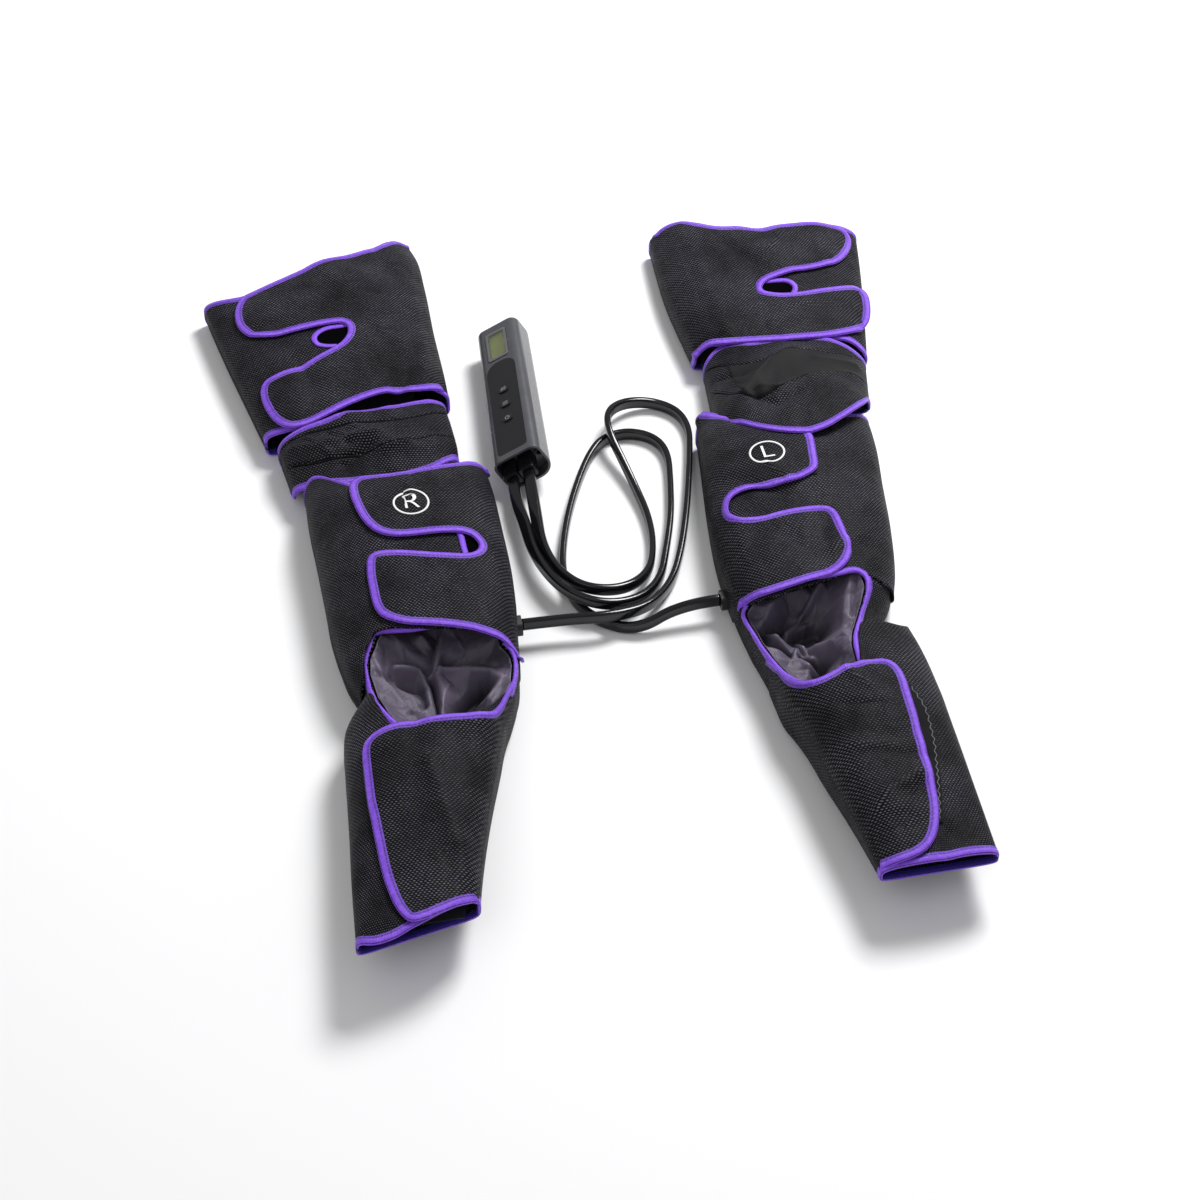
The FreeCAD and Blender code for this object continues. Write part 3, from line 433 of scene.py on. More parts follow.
# Linings: inset, reach along the leg, depth of their hang and its fullness, least height and slow waves
LINING_INSET = 4.5
LINING_REACH = (-290, -112)
LINING_ROWS = 110
LINING_HANG = 22
HANG_FULLNESS = 0.7
CRUMPLE_FADE = 1.6
LINING_FLOOR = 6.0
LINING_WAVES = ((46, 1.4), (31, 0.9))
LINING_SEED = 21
WAVE_BEND = 0.35
WAVE_TURNS = 1.7

# Cloth simulation of the linings: frames, farthest move in metres, and settings
LINING_FRAMES = 14
LINING_CAP = 0.005
LINING_SETTINGS = {
    "quality": 5, "mass": 0.1, "tension_stiffness": 12.0, "compression_stiffness": 12.0,
    "shear_stiffness": 4.0, "bending_stiffness": 0.2, "air_damping": 2.0, "shrink_min": -0.03,
    "vertex_group_mass": "held",
}

# Crests and hollows of the crumpled linings: two ends across and along the leg, height and breadth
LINING_CREASES = {
    "right": (
        (178, -124, 188, -155, 9, 7), (188, -155, 193, -171, 9, 7), (184, -128, 195, -169, -9, 6),
        (190, -174, 188, -198, 8, 7), (188, -198, 189, -227, 8, 7), (195, -182, 195, -226, -10, 5),
        (186, -171, 153, -178, 8, 6), (153, -178, 140, -183, 8, 6), (140, -183, 130, -200, 8, 6),
        (130, -200, 146, -220, 8, 6), (180, -164, 122, -173, -8, 8), (146, -195, 162, -207, -14, 9),
        (162, -207, 180, -225, -14, 9), (227, -169, 205, -170, 7, 5), (205, -170, 199, -185, 7, 5),
        (199, -185, 198, -206, 7, 5), (198, -206, 195, -224, 7, 5), (226, -183, 207, -188, -6, 5),
        (207, -188, 205, -208, -6, 5), (248, -161, 238, -184, 7, 4), (238, -184, 225, -204, 7, 4),
        (225, -204, 217, -225, 7, 4), (238, -178, 228, -197, -7, 4), (228, -197, 218, -219, -7, 4),
        (199, -132, 187, -146, 5, 4), (202, -142, 193, -159, -4, 4),
    ),
    "left": (
        (156, -131, 175, -133, 6, 8), (175, -133, 183, -145, 6, 8), (151, -143, 125, -169, 8, 5),
        (175, -154, 149, -167, -12, 8), (149, -167, 139, -172, -12, 8), (193, -136, 183, -146, 9, 4),
        (183, -146, 154, -169, 9, 4), (185, -171, 167, -177, -14, 12), (136, -175, 141, -187, 8, 5),
        (141, -187, 151, -200, 8, 5), (151, -200, 167, -211, 8, 5), (167, -211, 162, -186, 5, 3),
        (162, -186, 162, -177, 5, 3), (127, -177, 125, -193, -14, 7), (125, -193, 148, -203, -14, 7),
        (125, -208, 152, -203, 9, 7), (152, -203, 156, -211, 9, 7), (156, -211, 162, -230, 9, 7),
        (162, -230, 157, -240, 9, 7), (159, -209, 176, -229, -14, 8), (176, -229, 165, -237, -14, 8),
        (176, -202, 188, -208, 6, 8), (224, -138, 207, -170, 8, 10), (207, -170, 198, -192, 8, 10),
        (198, -192, 199, -228, 8, 10), (230, -139, 212, -179, -4, 3),
    ),
}

# Gain of the linings' crests, and the height at which their painted shade in the hollows starts and its span
CRUMPLE_RISE = 1.75
CRUMPLE_SHADE = (-13.0, 19.0)

# Folds of the knees: two ends across and along the leg, height and breadth
KNEE_FOLDS = {
    "right": (
        (262, 152, 209, 157, 6, 6), (245, 124, 219, 143, -6, 5), (206, 136, 180, 142, 5, 5),
        (300, 160, 276, 150, 4, 6), (170, 150, 140, 166, -4, 6), (240, 190, 190, 192, 4, 7),
        (258, 168, 240, 148, -5, 4), (232, 170, 214, 150, 5, 4), (282, 166, 262, 140, 4, 4),
    ),
    "left": (
        (178, 146, 220, 200, 7, 6), (220, 200, 246, 219, 5, 6), (189, 128, 206, 113, -6, 5),
        (206, 113, 232, 126, -5, 5), (250, 150, 300, 158, 5, 7), (160, 196, 186, 186, -5, 6),
        (270, 190, 312, 184, 4, 6), (192, 142, 214, 136, 5, 4), (214, 136, 238, 146, 4, 4),
    ),
}

# Soft ridges of the knees: seed, count, depth and breadth, on the sleeve and on the smooth panel between the
# seams; region across and along the leg; where they fade out down the sides
KNEE_RIDGES = (7, 10, 2.0, 7.0)
PANEL_RIDGES = (40, 26, 0.9, 3.0)
KNEE_REGION = {"right": (130, 308, 100, 215), "left": (150, 326, 75, 240)}
KNEE_FADE = (0.35, 0.3)

# Smooth panels of the knees: inner edge, reach as a share of the half width, lift and grid
KNEE_PANEL = {"left": 176}
PANEL_REACH = 0.95
PANEL_LIFT = 0.7
PANEL_GRID = (120, 44)

# Ends of the sleeves that are bound with tape, and the order in which the sleeve's columns run from there
BOUND_ENDS = {
    "thigh": {"low": 1, "high": -1},
    "knee": {"low": 1, "high": -1},
    "calf": {"high": -1},
    "foot": {"low": 1},
}

# Loop patches under the flaps: spans across and along the leg; grid, lift and depth, and a strip's points
LOOP_PATCHES = {
    "right": {
        "thigh_low": (256, 308, 226, 266), "thigh_high": (262, 322, 366, 418),
        "calf_low": (172, 220, -128, -76), "calf_high": (172, 220, -8, 60),
    },
    "left": {
        "thigh_low": (262, 322, 256, 300), "thigh_high": (262, 322, 366, 418),
        "calf_low": (172, 220, -128, -76), "calf_high": (172, 220, -8, 60),
    },
}
PATCH_GRID = (24, 60)
PATCH_LIFT = 0.9
PATCH_DEPTH = 0.0009
STRIP_POINTS = 80

# Zigzag stitches of the feet's loop strips: inset from the strip's edge, sway, step, half line and lift
STITCH_INSET = 4
STITCH_SWAY = 2.2
STITCH_STEP = 4.5
STITCH_LINE = 0.35
STITCH_LIFT = 1.3
STITCH_POINTS = 180

# Side marks on the calf flaps: distance across and along the leg, and the letter
MARKS = {"right": (189, 19, "R"), "left": (178, 34, "L")}
RING_POINTS = 96
RING_LIFT = 0.00045
LETTER_LIFT = 0.0005
LETTER_SIZE = 0.0285
LETTER_SLIM = -0.0002

# Routes of the hoses in metres, from the controller's plugs to the calves
HOSE_ROUTES = {
    "right": (
        (-0.0590, 0.0976, 0.0281), (-0.0608, 0.0636, 0.0281), (-0.062, 0.031, 0.026),
        (-0.0632, -0.011, 0.0245), (-0.0525, -0.0505, 0.0235), (-0.029, -0.079, 0.023),
        (0.008, -0.083, 0.020), (0.039, -0.057, 0.012), (0.052, -0.012, 0.0065), (0.055, 0.032, 0.0057),
        (0.050, 0.074, 0.007), (0.043, 0.114, 0.013), (0.0345, 0.153, 0.021), (0.0383, 0.1844, 0.021),
        (0.0606, 0.2067, 0.013), (0.0919, 0.2094, 0.007), (0.117, 0.191, 0.0057), (0.124, 0.160, 0.0057),
        (0.116, 0.119, 0.0057), (0.106, 0.075, 0.0057), (0.094, 0.028, 0.0057), (0.079, -0.022, 0.0057),
        (0.060, -0.069, 0.007), (0.030, -0.105, 0.014), (-0.010, -0.119, 0.0215), (-0.059, -0.114, 0.021),
        (-0.099, -0.114, 0.021),
    ),
    "left": (
        (-0.0755, 0.0985, 0.0186), (-0.0773, 0.0645, 0.0186),
        (-0.074, 0.032, 0.020), (-0.073, -0.012, 0.0215), (-0.062, -0.054, 0.022), (-0.044, -0.084, 0.022),
        (-0.012, -0.102, 0.020), (0.024, -0.092, 0.013), (0.050, -0.062, 0.007), (0.064, -0.019, 0.0057),
        (0.078, 0.028, 0.0057), (0.087, 0.077, 0.0057), (0.094, 0.125, 0.0057), (0.084, 0.152, 0.0057),
        (0.059, 0.166, 0.0057), (0.031, 0.161, 0.0057), (0.0125, 0.139, 0.0057), (-0.006, 0.101, 0.0057),
        (-0.023, 0.058, 0.0057), (-0.037, 0.012, 0.0057), (-0.046, -0.034, 0.0057), (-0.042, -0.076, 0.0057),
        (-0.022, -0.108, 0.0057), (0.014, -0.128, 0.0065),
        (0.059, -0.114, 0.021), (0.099, -0.114, 0.021),
    ),
}

# Flat hoses: roundness of their section, height of the route's line above the floor, turn at the plugs,
# and the start and span of the stretch that undoes it
HOSE_ROUND = 0.55
ROUTE_LEVEL = 0.0055
PLUG_ROLL = math.radians(60)
HOSE_TWIST = (0.03, 0.15)
HOSE_AROUND = 28
HOSE_POINTS = 420
HOSE_STEPS = 14
HOSE_GIRTH = 0.03

# Controller: its near end and turn, and where its buttons stand along it and out of its face
CASE_BASE = (-0.0624, 0.108, 0.02585)
CASE_TURN = math.radians(3)
BUTTON_TOP = 0.0234
BUTTONS = {"power": 0.059, "mode": 0.0825, "heat": 0.106}

# Marks on the buttons: points, lift, depth and half line, the power ring and its stroke, bars and waves
ICON_POINTS = 30
ICON_LIFT = 0.00025
ICON_DEPTH = 0.0003
ICON_LINE = 0.0004
RING_ARC = (math.radians(-230), math.radians(50), 40)
RING_RADIUS = 0.0024
RING_STROKE = (0.0003, 0.0031)
BAR_REACH = 0.003
BAR_GAP = 0.0018
WAVE_GAP = 0.0022
WAVE_REACH = 0.0024
WAVE_SWAY = 0.0006
WAVE_TURN = 3

# Floor, lamps and camera: half width of the floor, light of the world, place, size and power of each lamp
FLOOR_REACH = 6
WORLD_LIGHT = 0.36
LAMPS = {"key_light": ((1.2, 1.3, 2.2), 1.0, 92.0), "fill_light": ((-1.6, -1.4, 2.2), 2.4, 14.0)}
CAMERA_PLACE = (-0.3087, -1.7433, 1.6971)
CAMERA_AIM = (-0.014, -0.072, 0.0)
CAMERA_LENS = 72.0
CAMERA_SENSOR = 36.0


# Curves and surfaces

def follow(where, knots, values):
    """Smooth line through knots: cubic pieces whose slope at each knot is that of its neighbours' chord."""
    knots = np.asarray(knots, float)
    values = np.asarray(values, float)
    slopes = np.gradient(values, knots)
    inside = np.clip(where, knots[0], knots[-1])
    piece = np.clip(np.searchsorted(knots, inside) - 1, 0, len(knots) - 2)
    span = knots[piece + 1] - knots[piece]
    t = (inside - knots[piece]) / span
    line = (2 * t**3 - 3 * t**2 + 1) * values[piece] + (3 * t**2 - 2 * t**3) * values[piece + 1]
    bend = (t**3 - 2 * t**2 + t) * slopes[piece] + (t**3 - t**2) * slopes[piece + 1]
    return line + span * bend


def ease(share):
    """Smooth step from 0 to 1."""
    t = np.clip(share, 0, 1)
    return t * t * (3 - 2 * t)


def signed_power(value, power):
    """A power of the value's size, with the value's sign."""
    return np.sign(value) * np.abs(value) ** power


def soften(corners):
    """Open line with its corners cut off, again and again; its two ends stay."""
    line = np.asarray(corners, float)
    for _ in range(CORNER_ROUNDS):
        near = (1 - CORNER_CUT) * line[:-1] + CORNER_CUT * line[1:]
        far = CORNER_CUT * line[:-1] + (1 - CORNER_CUT) * line[1:]
        cut = np.stack([near, far], axis=1).reshape(-1, line.shape[1])
        line = np.concatenate([line[:1], cut, line[-1:]])
    return line


def distances(line):
    """Distance of each point of a line from its first one, along the line."""
    steps = np.linalg.norm(np.diff(line, axis=0), axis=1)
    return np.concatenate([[0], np.cumsum(steps)])


def spread(line, count):
    """The same line as a count of points at equal distances along it."""
    along = distances(line)
    where = np.linspace(0, along[-1], count)
    return np.stack([np.interp(where, along, column) for column in line.T], axis=1)


def unit(vectors):
    """Vectors of length 1."""
    return vectors / np.maximum(np.linalg.norm(vectors, axis=-1, keepdims=True), TINY)


def left_of(line):
    """Unit directions to the left of a line in plan."""
    run = unit(np.gradient(line, axis=0))
    return np.stack([-run[:, 1], run[:, 0]], axis=1)


def beside_line(line, wanted):
    """Directions square to a line in plan, on the side of the wanted directions."""
    left = left_of(line)
    return left * np.sign(np.sum(left * wanted, axis=1, keepdims=True))


def ridges(s, y, seed, count, region, depth, width):
    """Soft folds: a sum of ridges and hollows, each a bell across itself and a longer bell along."""
    rng = np.random.default_rng(seed)
    s, y = np.broadcast_arrays(s, y)
    low_s, high_s, low_y, high_y = region
    shape = (count,) + (1,) * s.ndim
    middle_s = rng.uniform(low_s, high_s, shape)
    middle_y = rng.uniform(low_y, high_y, shape)
    angle = rng.uniform(0, math.pi, shape)
    height = depth * rng.uniform(*RIDGE_HEIGHTS, shape) * rng.choice((-1, 1), shape)
    across = -(s - middle_s) * np.sin(angle) + (y - middle_y) * np.cos(angle)
    along = (s - middle_s) * np.cos(angle) + (y - middle_y) * np.sin(angle)
    broad = width * rng.uniform(*RIDGE_BREADTHS, shape)
    return np.sum(height * np.exp(-(across / broad) ** 2 - (along / (RIDGE_STRETCH * broad)) ** 2), axis=0)


def pleats(s, y, seed, waves):
    """Crumpled folds: a sum of sharp-crested waves, each in its own direction and bent by a slower one."""
    rng = np.random.default_rng(seed)
    total = np.zeros(np.broadcast(s, y).shape)
    for length, height in waves:
        angle, phase, bend = rng.uniform(0, 2 * math.pi, 3)
        across = s * np.cos(angle) + y * np.sin(angle)
        along = y * np.cos(angle) - s * np.sin(angle)
        turn = across / length + WAVE_BEND * np.sin(along / length * WAVE_TURNS + bend) + phase
        total = total + height * (1 - 2 * np.abs(np.sin(math.pi * turn)))
    return total


def off_runs(s, y, starts, ends):
    """Distance of each point from each of some straight runs, which are given by their ends."""
    s, y = np.broadcast_arrays(s, y)
    shape = (-1, 2) + (1,) * s.ndim
    start_s, start_y = np.moveaxis(starts.reshape(shape), 1, 0)
    run_s, run_y = np.moveaxis((ends - starts).reshape(shape), 1, 0)
    along = ((s - start_s) * run_s + (y - start_y) * run_y) / (run_s**2 + run_y**2)
    nearest = np.clip(along, 0, 1)
    return np.hypot(s - start_s - nearest * run_s, y - start_y - nearest * run_y)


def folds(s, y, creases):
    """Sharp folds along straight creases: each falls off from its crest and fades beyond its two ends. The
    highest ridge and the deepest valley at a place are added."""
    table = np.array(creases, float)
    off = off_runs(s, y, table[:, :2], table[:, 2:4])
    height, breadth = table[:, 4:].T.reshape((2, -1) + (1,) * (off.ndim - 1))
    rise = height * np.exp(CREST_GAIN - np.sqrt((off / breadth) ** 2 + CREST_ROUND))
    return rise.max(axis=0, initial=0.0) + rise.min(axis=0, initial=0.0)


def section(stations, y):
    """Middle, half width, underside and crown of a sleeve at y."""
    table = np.asarray(stations, float)
    inner, outer, low, high = (follow(y, table[:, 0], column) for column in table[:, 1:].T)
    return (inner + outer) / 2, (outer - inner) / 2, low, high


def side_line(low, high):
    """Height of a sleeve's side line, where it is widest."""
    return low + WAIST_SHARE * (high - low)


def crown(stations, s, y, cap=1.0):
    """Height of a sleeve's upper side: half of a superellipse between its side line and its crown. Beyond
    the cap, a share of the half width on the outer side, it stays as high as at the cap."""
    middle, half, low, high = section(stations, y)
    share = np.abs(np.clip((s - middle) / half, -1, cap))
    waist = side_line(low, high)
    dome = (1 - share**POWER) ** (1 / POWER)
    sway = np.sin(s / SWELL_ACROSS[0] + SWELL_SWAY * np.sin(y / SWELL_ALONG[0]))
    swell = sway * np.sin(y / SWELL_ALONG[1] + s / SWELL_ACROSS[1]) * (1 - share**SWELL_FADE)
    first = stations[0][1]
    dents = ridges(s, y, first, *DENTS)
    if first in SLEEVE_CREASES:
        dents = dents + folds(s, y, SLEEVE_CREASES[first])
    return waist + (high - waist) * dome + SWELL_RISE * swell + dents * (1 - share**DENT_FADE)


def crown_normals(side, stations, s, y, cap):
    """Directions square to a sleeve's upper side, from its slopes across and along."""
    across = crown(stations, s + SLOPE_STEP, y, cap) - crown(stations, s - SLOPE_STEP, y, cap)
    along = crown(stations, s, y + SLOPE_STEP, cap) - crown(stations, s, y - SLOPE_STEP, cap)
    return unit(np.stack([-SIDES[side] * across, -along, np.ones_like(across)], axis=-1))


def round_shares(angle):
    """Shares of the half width and of the rise at angles round a sleeve, which is flatter below its side."""
    power = 2 / np.where(np.sin(angle) >= 0, POWER, UNDER_POWER)
    return signed_power(np.cos(angle), power), np.abs(np.sin(angle)) ** power


def sleeve_grid(name, side):
    """Sleeve as a grid round and along the leg: superellipse above its side line and a flatter one below."""
    stations = SLEEVES[name][side]
    around, along = SLEEVE_GRID
    angle = np.linspace(0, 2 * math.pi, around, endpoint=False)[:, None]
    upper = np.sin(angle) >= 0
    share, rise = round_shares(angle)
    ends = []
    for end, lean in zip(ENDS[name, side], (LEANS.get((name, side), 0), 0)):
        table = np.array(end, float)
        below = table[0, 1] + (table[-1, 1] - table[0, 1]) * (share + 1) / 2 + lean * rise
        ends.append(np.where(upper, follow(share, table[:, 0], table[:, 1]), below))
    y = ends[0] + (ends[1] - ends[0]) * np.linspace(0, 1, along)
    middle, half, low, high = section(stations, y)
    s = middle + half * share
    waist = side_line(low, high)
    z = np.where(upper, crown(stations, s, y), waist - (waist - low) * rise)
    return s, y, np.maximum(z, FLOOR_GAP)


def heel_grid(side, inset, along, around, reach):
    """Heel cup as a grid from its inner rim, down, under the heel and up to its outer rim."""
    y = np.linspace(*reach, along)[None]
    middle, half, low, high = section(HEEL[side], y)
    turns = []
    for name in ("inner", "outer"):
        line = np.array(RIMS[name, side], float)[RIM_LEAD[name, side]:]
        edge = (np.interp(y, line[::-1, 1], line[::-1, 0]) - middle) / half
        turns.append(np.arccos(signed_power(np.clip(edge, -RIM_CAP, RIM_CAP), POWER / 2)))
    turn = np.linspace(0, 1, around)[:, None]
    angle = turns[0] + (2 * math.pi + turns[1] - turns[0]) * turn
    share, rise = round_shares(angle)
    waist = side_line(low, high)
    span = np.where(np.sin(angle) >= 0, high - waist - inset, low - waist + inset)
    return middle + (half - inset) * share, y + 0 * share, waist + span * rise


def knee_relief(side, s, y, z):
    """Soft folds of a knee sleeve, and a groove along each of its seams; they fade out down its sides."""
    seed, count, depth, breadth = KNEE_RIDGES
    relief = folds(s, y, KNEE_FOLDS[side])
    relief = relief + ridges(s, y, seed + SIDES[side], count, KNEE_REGION[side], depth, breadth)
    for seam in SEAMS[side]:
        line = soften(seam)
        off = off_runs(s, y, line[:-1], line[1:]).min(axis=0)
        relief = relief - SEAM_DEPTH * np.exp(-(off / SEAM_BREADTH) ** 2)
    return relief * ease((z / KNEE_PEAK[side] - KNEE_FADE[0]) / KNEE_FADE[1])


def place(side, s, y, z):
    """Points in metres of the row frame from distances across, along and above the floor in millimetres."""
    return np.stack(np.broadcast_arrays(SIDES[side] * s, y, z), axis=-1) * MM


def sleeve_surface(side, stations, cap):
    """Function that gives the points and normals of a sleeve's upper side."""
    def surface(s, y):
        return place(side, s, y, crown(stations, s, y, cap)), crown_normals(side, stations, s, y, cap)
    return surface


def flap_surface(name, side):
    """Function that gives the points and normals of a flap's upper face: the sleeve's upper side, raised
    along its normals by the flap's lift, which grows smoothly from the root."""
    stations = SLEEVES[name][side]
    sleeve = sleeve_surface(side, stations, FLAP_CAP)

    def surface(s, y):
        points, normal = sleeve(s, y)
        middle, half, _, _ = section(stations, y)
        away = ease((s - middle + half - LIFT_START) / LIFT_BREADTH)
        lift = bpy.context.scene.wrap_sizes.flap_lift * (ROOT_LIFT + (1 - ROOT_LIFT) * away)
        return points + normal * lift[..., None], normal
    return surface


def flap_outline(name, side):
    """A flap's edge in plan as one smooth line, and its root, which follows the sleeve's inner edge."""
    stations = SLEEVES[name][side]
    line = spread(soften(FLAPS[name, side]), FLAP_POINTS)
    middle, half, _, _ = section(stations, line[:, 1])
    least = middle - half + ROOT_INSET + ROOT_MARGIN
    free = np.flatnonzero(line[:, 0] > least)
    line[:, 0] = np.maximum(line[:, 0], least)
    line = line[max(free[0] - 1, 0):free[-1] + 2]
    y = np.linspace(line[-1, 1], line[0, 1], ROOT_POINTS)
    middle, half, _, _ = section(stations, y)
    return line, np.stack([middle - half + ROOT_INSET, y], axis=1)


# Meshes

def grid_normals(points, out, closed):
    """Normals of a grid, on the side of the direction out, and whether the grid's own turn agrees."""
    if closed:
        first = np.roll(points, -1, 0) - np.roll(points, 1, 0)
    else:
        first = np.gradient(points, axis=0)
    normal = unit(np.cross(first, np.gradient(points, axis=1)))
    agrees = np.sum(normal * out) > 0
    return (normal if agrees else -normal), agrees


def lengths(points):
    """Distances along the two directions of a grid, for a pattern that follows its surface."""
    runs = []
    for axis in (0, 1):
        steps = np.linalg.norm(np.diff(points, axis=axis), axis=2).mean(axis=1 - axis)
        runs.append(np.concatenate([[0], np.cumsum(steps)]))
    return np.stack(np.meshgrid(*runs, indexing="ij"), axis=-1)


def make_object(name, mesh):
    """Object of a mesh, a curve, a lamp or a camera in the scene."""
    piece = bpy.data.objects.new(name, mesh)
    bpy.context.scene.collection.objects.link(piece)
    return piece


def make_mesh(name, points, faces, uv, finish):
    """Smooth mesh object from points, faces and one pattern place for each point."""
    mesh = bpy.data.meshes.new(name)
    mesh.from_pydata(points.tolist(), [], faces.tolist())
    corner = np.empty(len(mesh.loops), np.int32)
    mesh.loops.foreach_get("vertex_index", corner)
    layer = mesh.uv_layers.new(name="cloth")
    layer.data.foreach_set("uv", np.asarray(uv, np.float32)[corner].ravel())
    mesh.polygons.foreach_set("use_smooth", np.ones(len(mesh.polygons), bool))
    mesh.materials.append(finishes()[finish])
    mesh.validate()
    mesh.update()
    piece = make_object(name, mesh)
    return piece


def read_points(mesh):
    """Points of a mesh as rows of three numbers."""
    found = np.empty(len(mesh.vertices) * 3, np.float32)
    mesh.vertices.foreach_get("co", found)
    return found.reshape(-1, 3)


def numbers(rows, columns):
    """Point numbers of a grid."""
    return np.arange(rows * columns).reshape(rows, columns)


def strip(near, far, turned):
    """Quads between two rows of point numbers."""
    faces = np.stack([near[:-1], near[1:], far[1:], far[:-1]], axis=-1)
    return faces[:, ::-1] if turned else faces


def quads(index, closed, turned):
    """Quads between neighbours of a grid, closed round its first direction if wanted, or turned over."""
    ahead = np.roll(index, -1, 0) if closed else index[1:]
    start = index if closed else index[:-1]
    faces = np.stack([start[:, :-1], ahead[:, :-1], ahead[:, 1:], start[:, 1:]], axis=-1).reshape(-1, 4)
    return faces[:, ::-1] if turned else faces


def make_shell(name, points, depth, finish, out=UP, closed=False, uv=None):
    """Cloth with two sides and rims: a grid, and the same grid moved inwards along its normals."""
    index = numbers(*points.shape[:2])
    normal, agrees = grid_normals(points, out, closed)
    ring = np.concatenate([index, index[:1]]) if closed else index
    rims = [(ring[:, 0], agrees), (ring[:, -1], not agrees)]
    if not closed:
        rims += [(index[0], not agrees), (index[-1], agrees)]
    faces = [quads(index, closed, not agrees), quads(index, closed, agrees) + index.size]
    faces += [strip(rim, rim + index.size, turned) for rim, turned in rims]
    both = np.concatenate([points, points - normal * depth]).reshape(-1, 3)
    pattern = (lengths(points) if uv is None else uv).reshape(-1, 2)
    return make_mesh(name, both, np.concatenate(faces), np.concatenate([pattern, pattern]), finish)


def make_tube(name, points, out, uv, finish, closed=False):
    """Tube from points round and along it: joined end to end where it is closed, or else capped."""
    index = numbers(*points.shape[:2])
    _, agrees = grid_normals(points, out, True)
    faces = [quads(index, True, not agrees)]
    if closed:
        ring = np.concatenate([index, index[:1]])
        faces.append(strip(ring[:, -1], ring[:, 0], agrees))
    else:
        half = len(index) // 2
        for end, turned in ((0, agrees), (-1, not agrees)):
            faces.append(strip(index[:half, end], index[half:, end][::-1], turned))
    return make_mesh(name, points.reshape(-1, 3), np.concatenate(faces), uv.reshape(-1, 2), finish)


def inside_outline(points, outline):
    """Points in a closed outline: a ray from each along the first axis crosses it an odd number of times."""
    end = np.roll(outline, -1, axis=0)
    level = points[:, 1, None]
    spans = (outline[:, 1] > level) != (end[:, 1] > level)
    rise = np.where(end[:, 1] == outline[:, 1], TINY, end[:, 1] - outline[:, 1])
    crossing = outline[:, 0] + (level - outline[:, 1]) / rise * (end[:, 0] - outline[:, 0])
    return np.sum(spans & (points[:, 0, None] < crossing), axis=1) % 2 == 1


def fill_outline(outline):
    """Triangles that fill a closed outline in plan: its own points, then a staggered lattice inside."""
    low = outline.min(axis=0)
    high = outline.max(axis=0)
    rows = np.arange(low[1], high[1], FILL_STEP * ROW_SHARE)
    columns = np.arange(low[0], high[0], FILL_STEP)[:, None]
    across = columns + FILL_STEP / 2 * (np.arange(len(rows)) % 2)
    lattice = np.stack([across.ravel(), np.broadcast_to(rows, across.shape).ravel()], axis=1)
    near = np.linalg.norm(lattice[:, None] - outline[None], axis=2).min(axis=1)
    lattice = lattice[inside_outline(lattice, outline) & (near > CLEAR_SHARE * FILL_STEP)]
    plan = np.concatenate([outline, lattice])
    found = delaunay_2d_cdt(plan.tolist(), [], [list(range(len(outline)))], 1, MERGE_GAP)
    if len(found[0]) != len(plan):
        raise RuntimeError("the outline of a flap crosses itself")
    return plan, np.array(found[2])


def outline_turn(points):
    """1 where a closed outline runs anticlockwise seen from above, and -1 where it runs clockwise."""
    ahead = np.roll(points, -1, axis=0)
    return np.sign(np.sum(points[:, 0] * ahead[:, 1] - ahead[:, 0] * points[:, 1]))


def make_filled(name, surface, border, depth, finish, lift=0.0):
    """Cloth on a surface or a lift above it, cut to a closed outline in plan, with two sides and a rim."""
    plan, faces = fill_outline(border)
    points, normal = surface(*plan.T)
    points = points + normal * lift
    first, second, third = (points[faces[:, corner]] for corner in range(3))
    if np.cross(second - first, third - first)[:, 2].sum() < 0:
        faces = faces[:, ::-1]
    count = len(points)
    edge = np.append(np.arange(len(border)), 0)
    rim = strip(edge, edge + count, outline_turn(points[:len(border)]) > 0)
    parts = [faces, faces[:, ::-1] + count, rim[:, (0, 1, 2)], rim[:, (0, 2, 3)]]
    both = np.concatenate([points, points - normal * depth])
    pattern = plan * MM
    return make_mesh(name, both, np.concatenate(parts), np.concatenate([pattern, pattern]), finish)


def tape_section(width, depth):
    """Section of a folded tape: distances into the cloth and above its middle, from the upper lip round
    the fold to the lower lip. It is full beside the fold and drawn in at the seam."""
    width_share, into, depth_share, above = np.array(TAPE_PROFILE).T
    upper = np.stack([width * width_share + into, depth / 2 * depth_share + above], axis=1)
    return np.concatenate([upper, upper[::-1] * (1, -1)])


def make_tape(name, base, normal, shape, closed=False):
    """Binding tape: a section carried along the edge of the cloth. The cloth's points and normals are
    given at each of the section's distances into it."""
    points = base + shape[:, 1, None, None] * normal
    half = len(shape) // 2
    # The lower lip's pattern place is put below nought, where the tape's material paints it in shade
    face = np.where(np.arange(len(shape)) < half, shape[:, 0], -shape[:, 0] - UNDER_SHADE_SHIFT)
    uv = np.stack(np.meshgrid(face, distances(base[half]), indexing="ij"), axis=-1)[..., ::-1]
    return make_tube(name, points, points - points.mean(axis=0, keepdims=True), uv, "binding_tape", closed)


def end_base(points, normal, shape, depth):
    """Cloth under the tape of a sleeve's end, which is the first column of its grid: points and normals
    at the section's distances along the grid's columns, half a depth below its face."""
    step = np.linalg.norm(points[:, 1] - points[:, 0], axis=-1)
    where = shape[:, 0, None] / step
    index = np.clip(np.floor(where), 0, points.shape[1] - 2).astype(int)
    share = (where - index)[..., None]
    rows = np.arange(len(points))
    turn = normal[rows, index + 1] - normal[rows, index]
    across = unit(normal[rows, index] + turn * np.clip(share, 0, 1))
    base = points[rows, index] + (points[rows, index + 1] - points[rows, index]) * share
    return base - across * depth / 2, across


